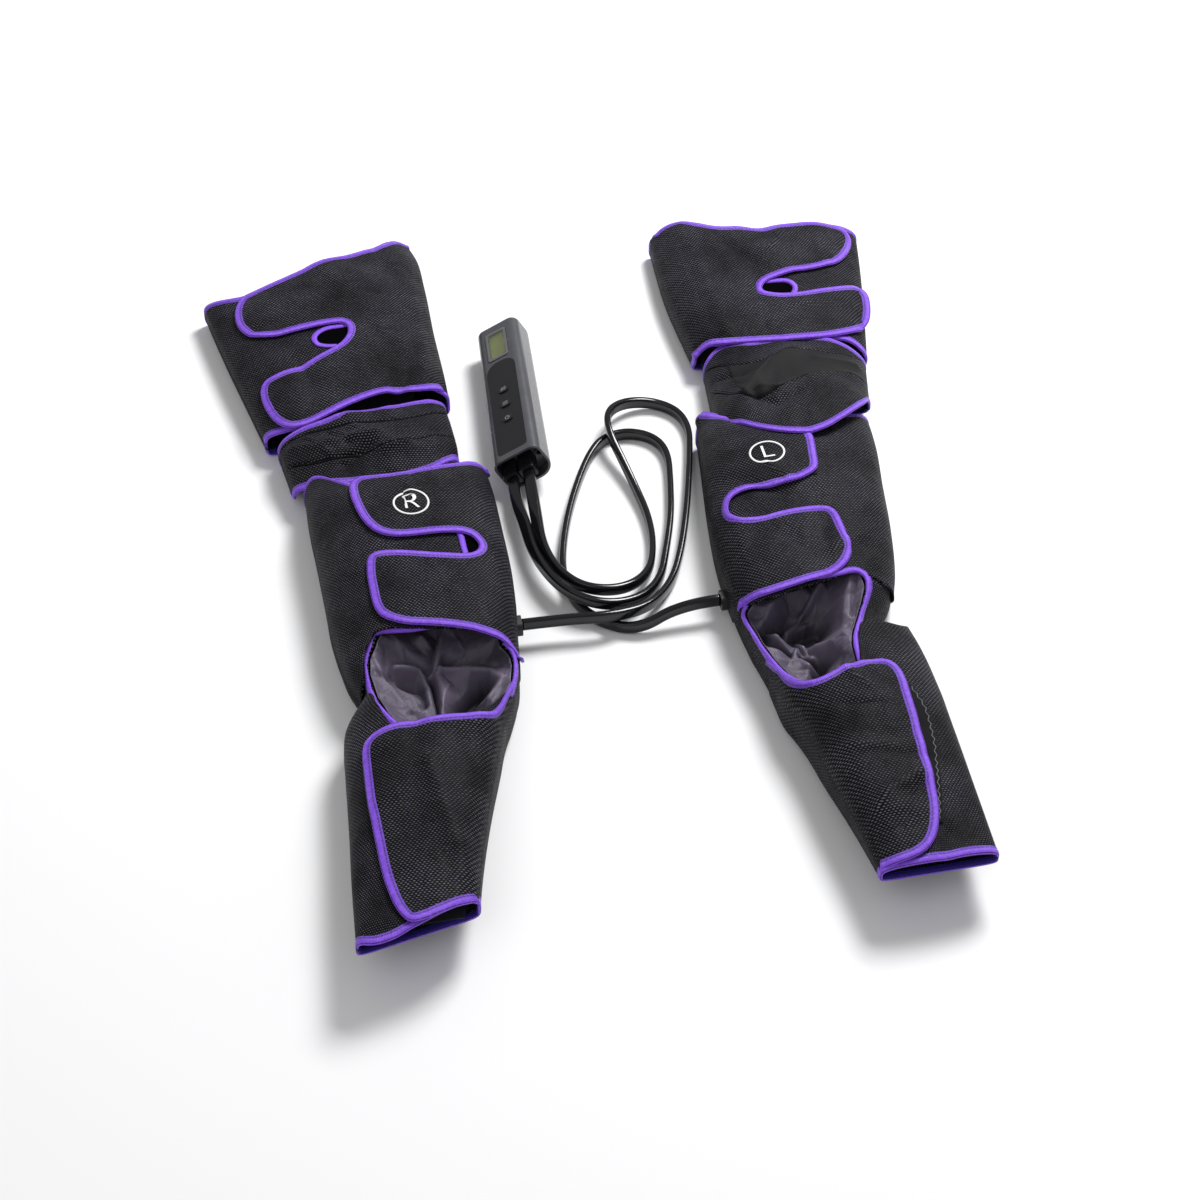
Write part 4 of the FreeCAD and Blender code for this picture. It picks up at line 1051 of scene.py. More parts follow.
def plan_base(surface, line, inward, shape, depth):
    """Cloth under the tape of an edge drawn in plan: points and normals of a surface at the section's
    distances inwards of the edge, half a depth below its face. Where the surface is steep the steps in
    plan are shorter."""
    width = shape[:, 0].max()
    edge, _ = surface(*line.T)
    window = np.ones(2 * SMOOTH_REACH + 1)
    for _ in range(REACH_ROUNDS):
        lip, _ = surface(*(line + inward * width / MM).T)
        share = np.clip(width / np.linalg.norm(lip - edge, axis=1), LEAST_REACH, 1.0)
        share = np.convolve(np.pad(share, SMOOTH_REACH, "edge"), window, "valid")
        inward = inward * share[:, None] / len(window)
    plan = line[None] + shape[:, 0, None, None] / MM * inward[None]
    points, normal = surface(plan[..., 0], plan[..., 1])
    return points - normal * depth / 2, normal


def tuck_ends(base, normal, onward, both):
    """The tape's cloth with its first end, or both ends, carried on over the sleeve's edge and down."""
    curl = np.array([out * onward - down * UP for out, down in TUCK_STEPS])
    runs = [base[:, :1] + curl[::-1], base]
    turns = [np.repeat(normal[:, :1], len(curl), axis=1), normal]
    if both:
        runs.append(base[:, -1:] + curl)
        turns.append(np.repeat(normal[:, -1:], len(curl), axis=1))
    return np.concatenate(runs, axis=1), np.concatenate(turns, axis=1)


def lay(name, side, stations, s, y, lift, depth, finish):
    """Thin cloth or thread on a sleeve's upper side, a lift above it."""
    points = place(side, s, y, crown(stations, s, y) + lift)
    piece = make_shell(name, points, depth, finish)
    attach(piece, "wrap")
    return piece


def joint_facts(name):
    """Place and axis of a joint in the record."""
    return next(item for item in frame["record"]["behaviour"]["joints"] if item["name"] == name)


def hinge_zone(name, side, root):
    """Start and end, in metres, of a strip beside a flap's hinge. It starts beyond the flap's root, which
    stays on the sleeve."""
    facts = joint_facts(f"{name}_flap_{side}_hinge")
    middle = np.array(facts["pos_m"])
    out = np.cross(facts["axis"], UP)
    out = unit(out * np.sign(out[0]) * SIDES[side])
    reach = place(side, *root.T, 0) - middle
    near = max(BEND_START, float((reach @ out).max()) + BEND_MARGIN)
    return middle + near * out, middle + (near + BEND_BREADTH) * out


# Materials

FINISHES = {}

# Mesh weave: rise of a row in pitches, fall of a loop from its top, and the grain's share and least light
# in the loops' painted highlight
LOOP_ROW = 0.6
LOOP_FALL = 6.5
GRAIN_SHARE = 0.8
GRAIN_LEAST = 0.3

# Gains in the bumps, and shares of a colour in stitches, in the painted shade of a lining's hollows and
# over moulded pieces
DENT_GAIN = 4.0
RIB_GAIN = 0.2
STITCH_SHADE = 0.6
HOLLOW_SHADE = 0.1
GLOSS_SPREAD = (0.85, 1.15)

# Pattern of the binding tape in metres: ribs, row of stitches, inner lip in painted shade beside the fold's
# painted highlight, pucker beside the stitches, and the lip below the cloth in painted shade
RIB_PITCH = 0.0013
SEAM_PLACE = 0.0059
SEAM_HALF = 0.00045
STITCH_PITCH = 0.004
STITCH_SHARE = 0.65
LIP_SHADE_START = 0.0036
LIP_SHADE_BREADTH = 0.0018
PUCKER_HALF = 0.0012
PUCKER_GAIN = 400.0
UNDER_SHADE_START = -0.0016

# Pitches of the thin weaves in metres, and colours that have no setting
LINING_PITCH = 0.0006
KNEE_PITCH = 0.003
KNEE_COLOUR = (0.0112, 0.0102, 0.0112)
GLASS_TINTS = ((0.9, 0.93, 0.85, 1.0), (0.97, 0.98, 0.95, 1.0))


def feed(tree, socket, given):
    """Joins a socket to another one, or sets its value."""
    if isinstance(given, bpy.types.NodeSocket):
        tree.links.new(given, socket)
    else:
        socket.default_value = given


def value_node(tree, operation, *given, clamp=False):
    """Math node whose inputs are sockets or numbers."""
    math_node = tree.nodes.new("ShaderNodeMath")
    math_node.operation = operation
    math_node.use_clamp = clamp
    for socket, value in zip(math_node.inputs, given):
        feed(tree, socket, value)
    return math_node.outputs[0]


def blend_node(tree, mask, first, second):
    """Mix of two colours by a mask; each colour is a socket or four numbers."""
    mix = tree.nodes.new("ShaderNodeMix")
    mix.data_type = "RGBA"
    tree.links.new(mask, mix.inputs["Factor"])
    feed(tree, mix.inputs[6], first)
    feed(tree, mix.inputs[7], second)
    return mix.outputs[2]


def shades_node(tree, mask, colour, dark, light):
    """Mix of a darker and a lighter shade of a colour by a mask."""
    return blend_node(tree, mask, shade_of(colour, dark), shade_of(colour, light))


def noise_node(tree, vector, scale, detail=3.0, roughness=0.55):
    """Noise value at a scale in turns per metre."""
    noise = tree.nodes.new("ShaderNodeTexNoise")
    for label, given in (("Vector", vector), ("Scale", scale), ("Detail", detail), ("Roughness", roughness)):
        feed(tree, noise.inputs[label], given)
    return noise.outputs["Fac"]


def stretch_node(tree, noise, gain):
    """Noise spread out from its middle by a gain, and kept between 0 and 1."""
    return value_node(tree, "MULTIPLY_ADD", noise, gain, 0.5 - 0.5 * gain, clamp=True)


def parts_node(tree, vector):
    """The three parts of a vector."""
    parts = tree.nodes.new("ShaderNodeSeparateXYZ")
    tree.links.new(vector, parts.inputs[0])
    return parts.outputs


def wave_node(tree, place_along, pitch):
    """Sine wave along a place, with a pitch in metres."""
    return value_node(tree, "SINE", value_node(tree, "MULTIPLY", place_along, 2 * math.pi / pitch))


def new_group(name, inputs, outputs):
    """Empty shader group with named inputs and outputs."""
    group = bpy.data.node_groups.new(name, "ShaderNodeTree")
    for label, kind, default in inputs:
        socket = group.interface.new_socket(name=label, in_out="INPUT", socket_type=kind)
        if default is not None:
            socket.default_value = default
    for label in outputs:
        group.interface.new_socket(name=label, in_out="OUTPUT", socket_type="NodeSocketFloat")
    entry = group.nodes.new("NodeGroupInput")
    leave = group.nodes.new("NodeGroupOutput")
    return group, entry.outputs, leave.inputs


def mesh_weave_group():
    """Rows of small loops in staggered cells: a bright dome in each cell, partly the weave's pattern and
    partly a painted highlight, with slow changes of shade.
    """
    group, given, put = new_group(
        "Mesh weave", (("Vector", "NodeSocketVector", None), ("Pitch", "NodeSocketFloat", 0.003)),
        ("Mask", "Height", "Shade"))
    parts = parts_node(group, given["Vector"])
    row = value_node(group, "DIVIDE", parts["Y"], value_node(group, "MULTIPLY", given["Pitch"], LOOP_ROW))
    offset = value_node(group, "MULTIPLY", value_node(group, "FLOOR", row), 0.5)
    column = value_node(group, "ADD", value_node(group, "DIVIDE", parts["X"], given["Pitch"]), offset)
    across = value_node(group, "SUBTRACT", value_node(group, "FRACT", column), 0.5)
    along = value_node(group, "SUBTRACT", value_node(group, "FRACT", row), 0.5)
    square = value_node(group, "ADD", value_node(group, "MULTIPLY", across, across),
                        value_node(group, "MULTIPLY", along, along))
    dome = value_node(group, "SUBTRACT", 1.0, value_node(group, "MULTIPLY", square, LOOP_FALL))
    dome = value_node(group, "MAXIMUM", dome, 0.0)
    slow = stretch_node(group, noise_node(group, given["Vector"], scale=38.0), gain=2.0)
    grain = stretch_node(group, noise_node(group, given["Vector"], scale=420.0, detail=2.0), gain=2.6)
    light = value_node(group, "MULTIPLY_ADD", grain, GRAIN_SHARE, GRAIN_LEAST)
    mask = value_node(group, "MULTIPLY", dome, light)
    for label, socket in (("Mask", mask), ("Height", dome), ("Shade", slow)):
        group.links.new(socket, put[label])
    return group


def grain_group():
    """Fine moulded grain and slow changes of gloss."""
    group, given, put = new_group(
        "Moulded grain", (("Vector", "NodeSocketVector", None), ("Scale", "NodeSocketFloat", 2200.0)),
        ("Height", "Gloss"))
    noise = group.nodes.new("ShaderNodeTexNoise")
    group.links.new(given["Vector"], noise.inputs["Vector"])
    group.links.new(given["Scale"], noise.inputs["Scale"])
    group.links.new(noise.outputs["Fac"], put["Height"])
    group.links.new(noise_node(group, given["Vector"], scale=60.0), put["Gloss"])
    return group


def add_group(tree, group, vector, **values):
    """A group placed in a material with its own values."""
    holder = tree.nodes.new("ShaderNodeGroup")
    holder.node_tree = group
    tree.links.new(vector, holder.inputs["Vector"])
    for label, number in values.items():
        holder.inputs[label].default_value = number
    return holder.outputs


def start_material(name, coordinates, **plain):
    """Material with one shader, plain values set on its sockets, and a place to read patterns from."""
    material = bpy.data.materials.new(name)
    material.use_nodes = True
    tree = material.node_tree
    shader = tree.nodes["Principled BSDF"]
    for label, number in plain.items():
        shader.inputs[label.replace("_", " ")].default_value = number
    where = tree.nodes.new("ShaderNodeTexCoord")
    return material, tree, shader.inputs, where.outputs[coordinates]


def add_bump(tree, shader, height, distance, strength=1.0):
    """Bump from a height."""
    bump = tree.nodes.new("ShaderNodeBump")
    bump.inputs["Distance"].default_value = distance
    bump.inputs["Strength"].default_value = strength
    tree.links.new(height, bump.inputs["Height"])
    tree.links.new(bump.outputs["Normal"], shader["Normal"])


def shade_of(colour, share):
    """A colour made darker or lighter by a share."""
    return tuple(min(1.0, channel * share) for channel in colour[:3]) + (1.0,)


def mesh_cloth(colour, pitch):
    """Black spacer mesh: staggered loops, brighter than the darker ground partly by the weave and partly as
    a painted highlight.
    """
    material, tree, shader, vector = start_material(
        "mesh_cloth", "UV", Roughness=0.55, Sheen_Weight=0.01, Sheen_Roughness=0.5, Specular_IOR_Level=0.07)
    weave = add_group(tree, mesh_weave_group(), vector, Pitch=pitch)
    ground = shades_node(tree, weave["Shade"], colour, dark=0.05, light=0.3)
    patches = stretch_node(tree, noise_node(tree, vector, scale=14.0, detail=4.0, roughness=0.6), gain=2.4)
    # Painted highlight: the loops are lit far above the black yarn's own colour
    bright = shades_node(tree, patches, colour, dark=5.0, light=30.0)
    tree.links.new(blend_node(tree, weave["Mask"], ground, bright), shader["Base Color"])
    uneven = noise_node(tree, vector, scale=45.0, detail=2.0, roughness=0.5)
    height = value_node(tree, "ADD", weave["Height"], value_node(tree, "MULTIPLY", uneven, DENT_GAIN))
    add_bump(tree, shader, height, distance=0.0008, strength=0.9)
    return material


def binding_tape(colour, shade_and_stitch):
    """Woven tape: ribs across it, a row of sewn stitches near its inner edge, slow changes of shade along
    it, a painted highlight on its fold and painted shade on its inner lip, and a bluer painted shade on
    the lip below the cloth, whose pattern place is below nought."""
    material, tree, shader, vector = start_material(
        "binding_tape", "UV", Roughness=0.45, Sheen_Weight=0.1, Sheen_Roughness=0.4, Specular_IOR_Level=0.35)
    parts = parts_node(tree, vector)
    rib = wave_node(tree, parts["X"], RIB_PITCH)
    off_seam = value_node(tree, "ABSOLUTE", value_node(tree, "SUBTRACT", parts["Y"], SEAM_PLACE))
    near_seam = value_node(tree, "LESS_THAN", off_seam, SEAM_HALF)
    turn = value_node(tree, "FRACT", value_node(tree, "DIVIDE", parts["X"], STITCH_PITCH))
    stitch = value_node(tree, "MULTIPLY", near_seam, value_node(tree, "LESS_THAN", turn, STITCH_SHARE))
    shade = stretch_node(tree, noise_node(tree, vector, scale=210.0, detail=4.0, roughness=0.7), gain=1.8)
    # Painted highlight and painted shade: the fold is a lit copy of the tape's colour, the inner lip a
    # shaded one
    fold = shades_node(tree, shade, colour, dark=0.7, light=1.5)
    lip = shades_node(tree, shade, colour, dark=0.4, light=1.0)
    past_lip = value_node(tree, "SUBTRACT", parts["Y"], LIP_SHADE_START)
    inner = value_node(tree, "DIVIDE", past_lip, LIP_SHADE_BREADTH, clamp=True)
    sewn = blend_node(tree, stitch, blend_node(tree, inner, fold, lip), shade_of(shade_and_stitch, STITCH_SHADE))
    # Painted shade: the lip below the cloth takes the darker, bluer colour, of which the stitches take a
    # share
    under = value_node(tree, "LESS_THAN", parts["Y"], UNDER_SHADE_START)
    tree.links.new(blend_node(tree, under, sewn, shade_of(shade_and_stitch, 1.0)), shader["Base Color"])
    near = value_node(tree, "SUBTRACT", PUCKER_HALF, off_seam)
    pucker = value_node(tree, "MAXIMUM", value_node(tree, "MULTIPLY", near, PUCKER_GAIN), 0.0)
    height = value_node(tree, "SUBTRACT", value_node(tree, "MULTIPLY", rib, RIB_GAIN), pucker)
    add_bump(tree, shader, value_node(tree, "ADD", height, shade), distance=0.0006, strength=0.8)
    return material


def plain_weave(name, colour, pitch, paint_hollows, plain):
    """Thin woven cloth: warp and weft in its bump, slow changes of shade, and on a folded sheet a painted
    shade: a deeper colour in the hollows, which its attribute of fold heights gives."""
    material, tree, shader, vector = start_material(name, "UV", **plain)
    parts = parts_node(tree, vector)
    warp = wave_node(tree, parts["X"], pitch)
    weft = wave_node(tree, parts["Y"], pitch)
    slow = stretch_node(tree, noise_node(tree, vector, scale=26.0), gain=1.6)
    cloth = shades_node(tree, slow, colour, dark=0.75, light=1.25)
    # Painted shade: the hollows of the folds darken the colour
    if paint_hollows:
        height = tree.nodes.new("ShaderNodeAttribute")
        height.attribute_name = "fold_shade"
        cloth = blend_node(tree, height.outputs["Fac"], shade_of(colour, HOLLOW_SHADE), cloth)
    tree.links.new(cloth, shader["Base Color"])
    add_bump(tree, shader, value_node(tree, "MULTIPLY", warp, weft), distance=pitch / 6, strength=0.5)
    return material


def loop_cloth(colour):
    """Brushed loop cloth: short tangled pile."""
    material, tree, shader, vector = start_material(
        "loop_cloth", "UV", Roughness=0.9, Sheen_Weight=0.03, Sheen_Roughness=0.6, Specular_IOR_Level=0.15)
    pile = noise_node(tree, vector, scale=1500.0, detail=4.0, roughness=0.7)
    tree.links.new(shades_node(tree, pile, colour, dark=0.4, light=1.7), shader["Base Color"])
    add_bump(tree, shader, pile, distance=0.0008)
    return material


def moulded(name, colour, group, grain, plain):
    """Moulded plastic or rubber: fine grain in its bump, and a gloss that changes slowly over it."""
    material, tree, shader, vector = start_material(name, "Object", **plain)
    parts = add_group(tree, group, vector, Scale=grain)
    tree.links.new(shades_node(tree, parts["Gloss"], colour, *GLOSS_SPREAD), shader["Base Color"])
    ramp = tree.nodes.new("ShaderNodeMapRange")
    ramp.inputs["To Min"].default_value = plain["Roughness"] * GLOSS_SPREAD[0]
    ramp.inputs["To Max"].default_value = plain["Roughness"] * GLOSS_SPREAD[1]
    tree.links.new(parts["Gloss"], ramp.inputs["Value"])
    tree.links.new(ramp.outputs["Result"], shader["Roughness"])
    add_bump(tree, shader, parts["Height"], distance=0.00008, strength=0.5)
    return material


def window_glass():
    """Clear window with a faint tint."""
    material, tree, shader, vector = start_material(
        "window_glass", "Object", Roughness=0.06, Transmission_Weight=1.0, IOR=1.47)
    tint = blend_node(tree, noise_node(tree, vector, scale=30.0), *GLASS_TINTS)
    tree.links.new(tint, shader["Base Color"])
    return material


def finishes():
    """All finishes by name, made once."""
    if FINISHES:
        return FINISHES
    colours = bpy.context.scene.wrap_colours
    FINISHES["mesh_cloth"] = mesh_cloth(colours.cloth, bpy.context.scene.wrap_sizes.weave_pitch)
    FINISHES["binding_tape"] = binding_tape(colours.tape, colours.tape_shade_and_stitch)
    FINISHES["lining_cloth"] = plain_weave("lining_cloth", colours.lining, LINING_PITCH, True, {
        "Roughness": 0.36, "Sheen_Weight": 0.06, "Sheen_Roughness": 0.35, "Specular_IOR_Level": 0.5})
    FINISHES["knee_cloth"] = plain_weave("knee_cloth", KNEE_COLOUR, KNEE_PITCH, False, {
        "Roughness": 0.62, "Specular_IOR_Level": 0.14})
    FINISHES["loop_cloth"] = loop_cloth(colours.loop)
    group = grain_group()
    for name, colour, grain, plain in (
        ("case_plastic", colours.case, 2400.0, {"Roughness": 0.26, "Specular_IOR_Level": 0.5}),
        ("panel_plastic", colours.panel, 1500.0, {"Roughness": 0.32, "Specular_IOR_Level": 0.4}),
        ("button_rubber", colours.panel, 1800.0, {"Roughness": 0.5}),
        ("soft_rubber", colours.hose, 1600.0, {"Roughness": 0.45}),
        ("hose_rubber", colours.hose, 700.0, {"Roughness": 0.12, "Specular_IOR_Level": 0.4}),
        ("seam_thread", (0.003, 0.003, 0.004), 2600.0, {"Roughness": 0.7, "Specular_IOR_Level": 0.1}),
        ("slot_shadow", (0.0008, 0.0008, 0.0014), 1600.0, {"Roughness": 0.9, "Specular_IOR_Level": 0.02}),
        ("bezel_plastic", (0.34, 0.34, 0.36), 900.0, {"Roughness": 0.2, "Metallic": 0.9}),
        ("display_plastic", colours.display, 500.0, {"Roughness": 0.3}),
        ("board_plastic", (0.02, 0.12, 0.05), 1200.0, {"Roughness": 0.4}),
        ("pump_metal", (0.6, 0.6, 0.62), 3000.0, {"Roughness": 0.3, "Metallic": 1.0}),
        ("valve_plastic", (0.7, 0.7, 0.68), 1500.0, {"Roughness": 0.45}),
        ("bladder_film", (0.05, 0.05, 0.06), 300.0, {"Roughness": 0.35}),
        ("heater_cloth", (0.03, 0.03, 0.032), 1400.0, {"Roughness": 0.8}),
        ("mark_print", (0.8, 0.8, 0.8), 1400.0, {"Roughness": 0.6}),
        ("stitch_thread", (0.12, 0.12, 0.13), 3000.0, {"Roughness": 0.5}),
        ("icon_print", (0.22, 0.24, 0.25), 1400.0, {"Roughness": 0.6}),
    ):
        FINISHES[name] = moulded(name, colour, group, grain, plain)
    FINISHES["window_glass"] = window_glass()
    return FINISHES


# Settings

def colour_setting(label, words, colour):
    """Setting that holds a colour."""
    return bpy.props.FloatVectorProperty(name=label, description=words, subtype="COLOR", default=colour)


def length_setting(label, words, length):
    """Setting that holds a length in metres."""
    return bpy.props.FloatProperty(name=label, description=words, unit="LENGTH", default=length)


class WrapColours(bpy.types.PropertyGroup):
    """Colours of the cloth, the tape, the hoses and the controller."""

    cloth: colour_setting("Mesh cloth", "Colour of the outer mesh", (0.0066, 0.0064, 0.0082))
    tape: colour_setting("Binding tape", "Colour of the edge binding", (0.205, 0.068, 0.66))
    # Painted shade of the binding's lip below the cloth; the tape's stitches take a darker share of it
    tape_shade_and_stitch: colour_setting(
        "Tape below", "Colour of the binding's lip below the cloth", (0.05, 0.03, 0.34))
    lining: colour_setting("Lining", "Colour of the nylon lining", (0.125, 0.104, 0.155))
    loop: colour_setting("Loop patches", "Colour of the loop patches", (0.0075, 0.0075, 0.009))
    hose: colour_setting("Hoses", "Colour of the hoses and plugs", (0.006, 0.006, 0.008))
    case: colour_setting("Controller case", "Colour of the case", (0.07, 0.071, 0.081))
    panel: colour_setting("Key panel", "Colour of the key panel", (0.011, 0.011, 0.013))
    display: colour_setting("Display", "Colour of the liquid crystal", (0.32, 0.35, 0.13))
    floor: colour_setting("Floor", "Colour of the floor", (0.93, 0.93, 0.94))


class WrapSizes(bpy.types.PropertyGroup):
    """Sizes of the cloth, the tape, the hoses and the marks."""

    cloth_depth: length_setting("Cloth depth", "Depth of the padded cloth", 0.0024)
    tape_width: length_setting("Tape width", "Width of the binding on each face", 0.0082)
    tape_depth: length_setting("Tape depth", "Depth of the folded binding", 0.003)
    flap_lift: length_setting("Flap lift", "Height of a flap's face above its sleeve", 0.0044)
    weave_pitch: length_setting("Weave pitch", "Distance between the loops of the mesh", 0.0037)
    hose_height: length_setting("Hose height", "Height of the flat hoses on edge", 0.0128)
    hose_depth: length_setting("Hose depth", "Depth of the flat hoses", 0.0072)
    ring_width: length_setting("Ring width", "Diameter of the side marks", 0.036)
    ring_line: length_setting("Ring line", "Line width of the side marks", 0.002)


# Pieces

class WRAP_OT_sleeves(bpy.types.Operator):
    """Thigh, knee, calf and foot sleeves with their end tapes"""

    bl_idname = "wrap.sleeves"
    bl_label = "Sleeves"

    def execute(self, context):
        sizes = context.scene.wrap_sizes
        shape = tape_section(sizes.tape_width, sizes.tape_depth)
        for side in SIDES:
            for name, bound in BOUND_ENDS.items():
                s, y, z = sleeve_grid(name, side)
                if name == "knee":
                    z = z + knee_relief(side, s, y, z)
                    self.trim_knee(side)
                points = place(side, s, y, z)
                out = points - points.mean(axis=0, keepdims=True)
                uv = lengths(points)
                uv[..., 1] = y * MM
                sleeve = make_shell(f"{name}_sleeve_cloth_{side}", points, sizes.cloth_depth, "mesh_cloth",
                                    out, True, uv)
                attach(sleeve, "wrap")
                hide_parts(f"{name}_sleeve_{side}")
                normal, _ = grid_normals(points, out, True)
                for label, order in bound.items():
                    base, across = end_base(points[:, ::order], normal[:, ::order], shape, sizes.cloth_depth)
                    tape = make_tape(f"{name}_{label}_tape_{side}", base, across, shape, True)
                    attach(tape, "wrap")
                    if label == next(iter(bound)):
                        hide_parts(f"{name}_tape_{side}")
        return {"FINISHED"}

    def trim_knee(self, side):
        """The dark line of each of a knee's two seams, and the smooth panel between them."""
        seams = [spread(soften(sorted(seam)), SEAM_POINTS) for seam in SEAMS[side]]
        middle, half, _, _ = section(KNEE[side], seams[1][:, 1].mean())
        reach = PANEL_REACH * half
        for number, seam in enumerate(seams):
            seam = seam[np.abs(seam[:, 0] - middle) < reach]
            off = np.array((-SEAM_LINE, 0, SEAM_LINE))[:, None, None]
            s, y = np.moveaxis(seam + off * left_of(seam), -1, 0)
            self.lay_on_knee(f"knee_seam_{number}_{side}", side, s, y, SEAM_LIFT, "seam_thread")
        if side not in KNEE_PANEL:
            return
        s = np.linspace(KNEE_PANEL[side], middle + reach, PANEL_GRID[0])[:, None]
        high, low = (np.interp(s, seam[:, 0], seam[:, 1]) for seam in seams)
        y = low + (high - low) * np.linspace(0, 1, PANEL_GRID[1])
        s = s + 0 * y
        seed, count, depth, breadth = PANEL_RIDGES
        wrinkles = ridges(s, y, seed + SIDES[side], count, KNEE_REGION[side], depth, breadth)
        self.lay_on_knee(f"knee_panel_cloth_{side}", side, s, y, PANEL_LIFT + wrinkles, "knee_cloth")

    def lay_on_knee(self, name, side, s, y, lift, finish):
        """Thin cloth or thread on a knee sleeve, a lift above its folds."""
        relief = knee_relief(side, s, y, crown(KNEE[side], s, y))
        lay(name, side, KNEE[side], s, y, relief + lift, THIN_CLOTH, finish)


class WRAP_OT_heels(bpy.types.Operator):
    """Heel cups open over the instep, with their rim tapes and wrinkled linings"""

    bl_idname = "wrap.heels"
    bl_label = "Heels and linings"

    def execute(self, context):
        sizes = context.scene.wrap_sizes
        shape = tape_section(RIM_TAPE, sizes.tape_depth)
        for side in SIDES:
            points = place(side, *heel_grid(side, HEEL_INSET, *HEEL_GRID, HEEL_REACH))
            out = points - points.mean(axis=0, keepdims=True)
            cup = make_shell(f"heel_cup_cloth_{side}", points, sizes.cloth_depth, "mesh_cloth", out)
            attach(cup, "wrap")
            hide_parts(f"heel_cup_{side}")
            surface = sleeve_surface(side, HEEL[side], RIM_CAP)
            for name in ("inner", "outer"):
                line = spread(soften(RIMS[name, side]), RIM_POINTS)
                inward = beside_line(line, line - OPENING_MIDDLE[side])
                base, normal = plan_base(surface, line, inward, shape, sizes.cloth_depth)
                tape = make_tape(f"heel_{name}_rim_{side}", base, normal, shape)
                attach(tape, "wrap")
                if name == "inner":
                    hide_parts(f"heel_tape_{side}")
            self.hang_lining(side)
        return {"FINISHED"}

    def hang_lining(self, side):
        """Lining: a crumpled bowl hung between the rims, which a cloth simulation grows and buckles."""
        s, y, z = heel_grid(side, LINING_INSET, LINING_ROWS, LINING_ROWS, LINING_REACH)
        share = np.linspace(0, 1, LINING_ROWS)[:, None]
        level = z[:1] * (1 - share) + z[-1:] * share
        flat = s[:1] * (1 - share) + s[-1:] * share
        hang = np.sin(math.pi * share) ** HANG_FULLNESS
        soft = pleats(flat, y, LINING_SEED + SIDES[side], LINING_WAVES)
        crumple = folds(flat, y, LINING_CREASES[side])
        relief = (CRUMPLE_RISE * crumple + soft) * np.minimum(1, CRUMPLE_FADE * hang)
        points = place(side, flat, y, np.maximum(level - LINING_HANG * hang + relief, LINING_FLOOR))
        points = self.buckle(side, points)
        lining = make_shell(f"ankle_lining_cloth_{side}", points, THIN_CLOTH, "lining_cloth", -UP)
        # Painted shade: a share from the height of the creases, by which the lining's hollows are darkened
        height = ease((crumple - CRUMPLE_SHADE[0]) / CRUMPLE_SHADE[1]).ravel()
        shades = lining.data.attributes.new("fold_shade", "FLOAT", "POINT")
        shades.data.foreach_set("value", np.concatenate([height, height]).astype(np.float32))
        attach(lining, "wrap")
        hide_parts(f"ankle_lining_{side}")

    def buckle(self, side, start):
        """The bowl after a short cloth simulation in which it grows between its held borders; each point
        moves by no more than a cap, and not at all at the borders."""
        scene = bpy.context.scene
        index = numbers(*start.shape[:2])
        mesh = bpy.data.meshes.new(f"lining_start_{side}")
        mesh.from_pydata(start.reshape(-1, 3).tolist(), [], quads(index, False, False).tolist())
        sheet = make_object(f"lining_start_{side}", mesh)
        border = np.concatenate([index[0], index[-1], index[1:-1, 0], index[1:-1, -1]])
        held = sheet.vertex_groups.new(name="held")
        held.add(border.tolist(), 1.0, "REPLACE")
        cloth = sheet.modifiers.new("folds", "CLOTH")
        for setting, value in LINING_SETTINGS.items():
            setattr(cloth.settings, setting, value)
        cloth.settings.effector_weights.gravity = 0.0
        cloth.collision_settings.use_collision = False
        cloth.point_cache.frame_start = 1
        cloth.point_cache.frame_end = LINING_FRAMES
        for moment in range(1, LINING_FRAMES + 1):
            scene.frame_set(moment)
        formed = sheet.evaluated_get(bpy.context.evaluated_depsgraph_get()).to_mesh()
        moved = read_points(formed).reshape(start.shape).astype(float) - start
        scene.frame_set(1)
        bpy.data.objects.remove(sheet)
        bpy.data.meshes.remove(mesh)
        far = np.linalg.norm(moved, axis=-1, keepdims=True)
        points = start + moved * np.minimum(1, LINING_CAP / np.maximum(far, TINY))
        points[..., 2] = np.maximum(points[..., 2], LINING_FLOOR * MM)
        return points


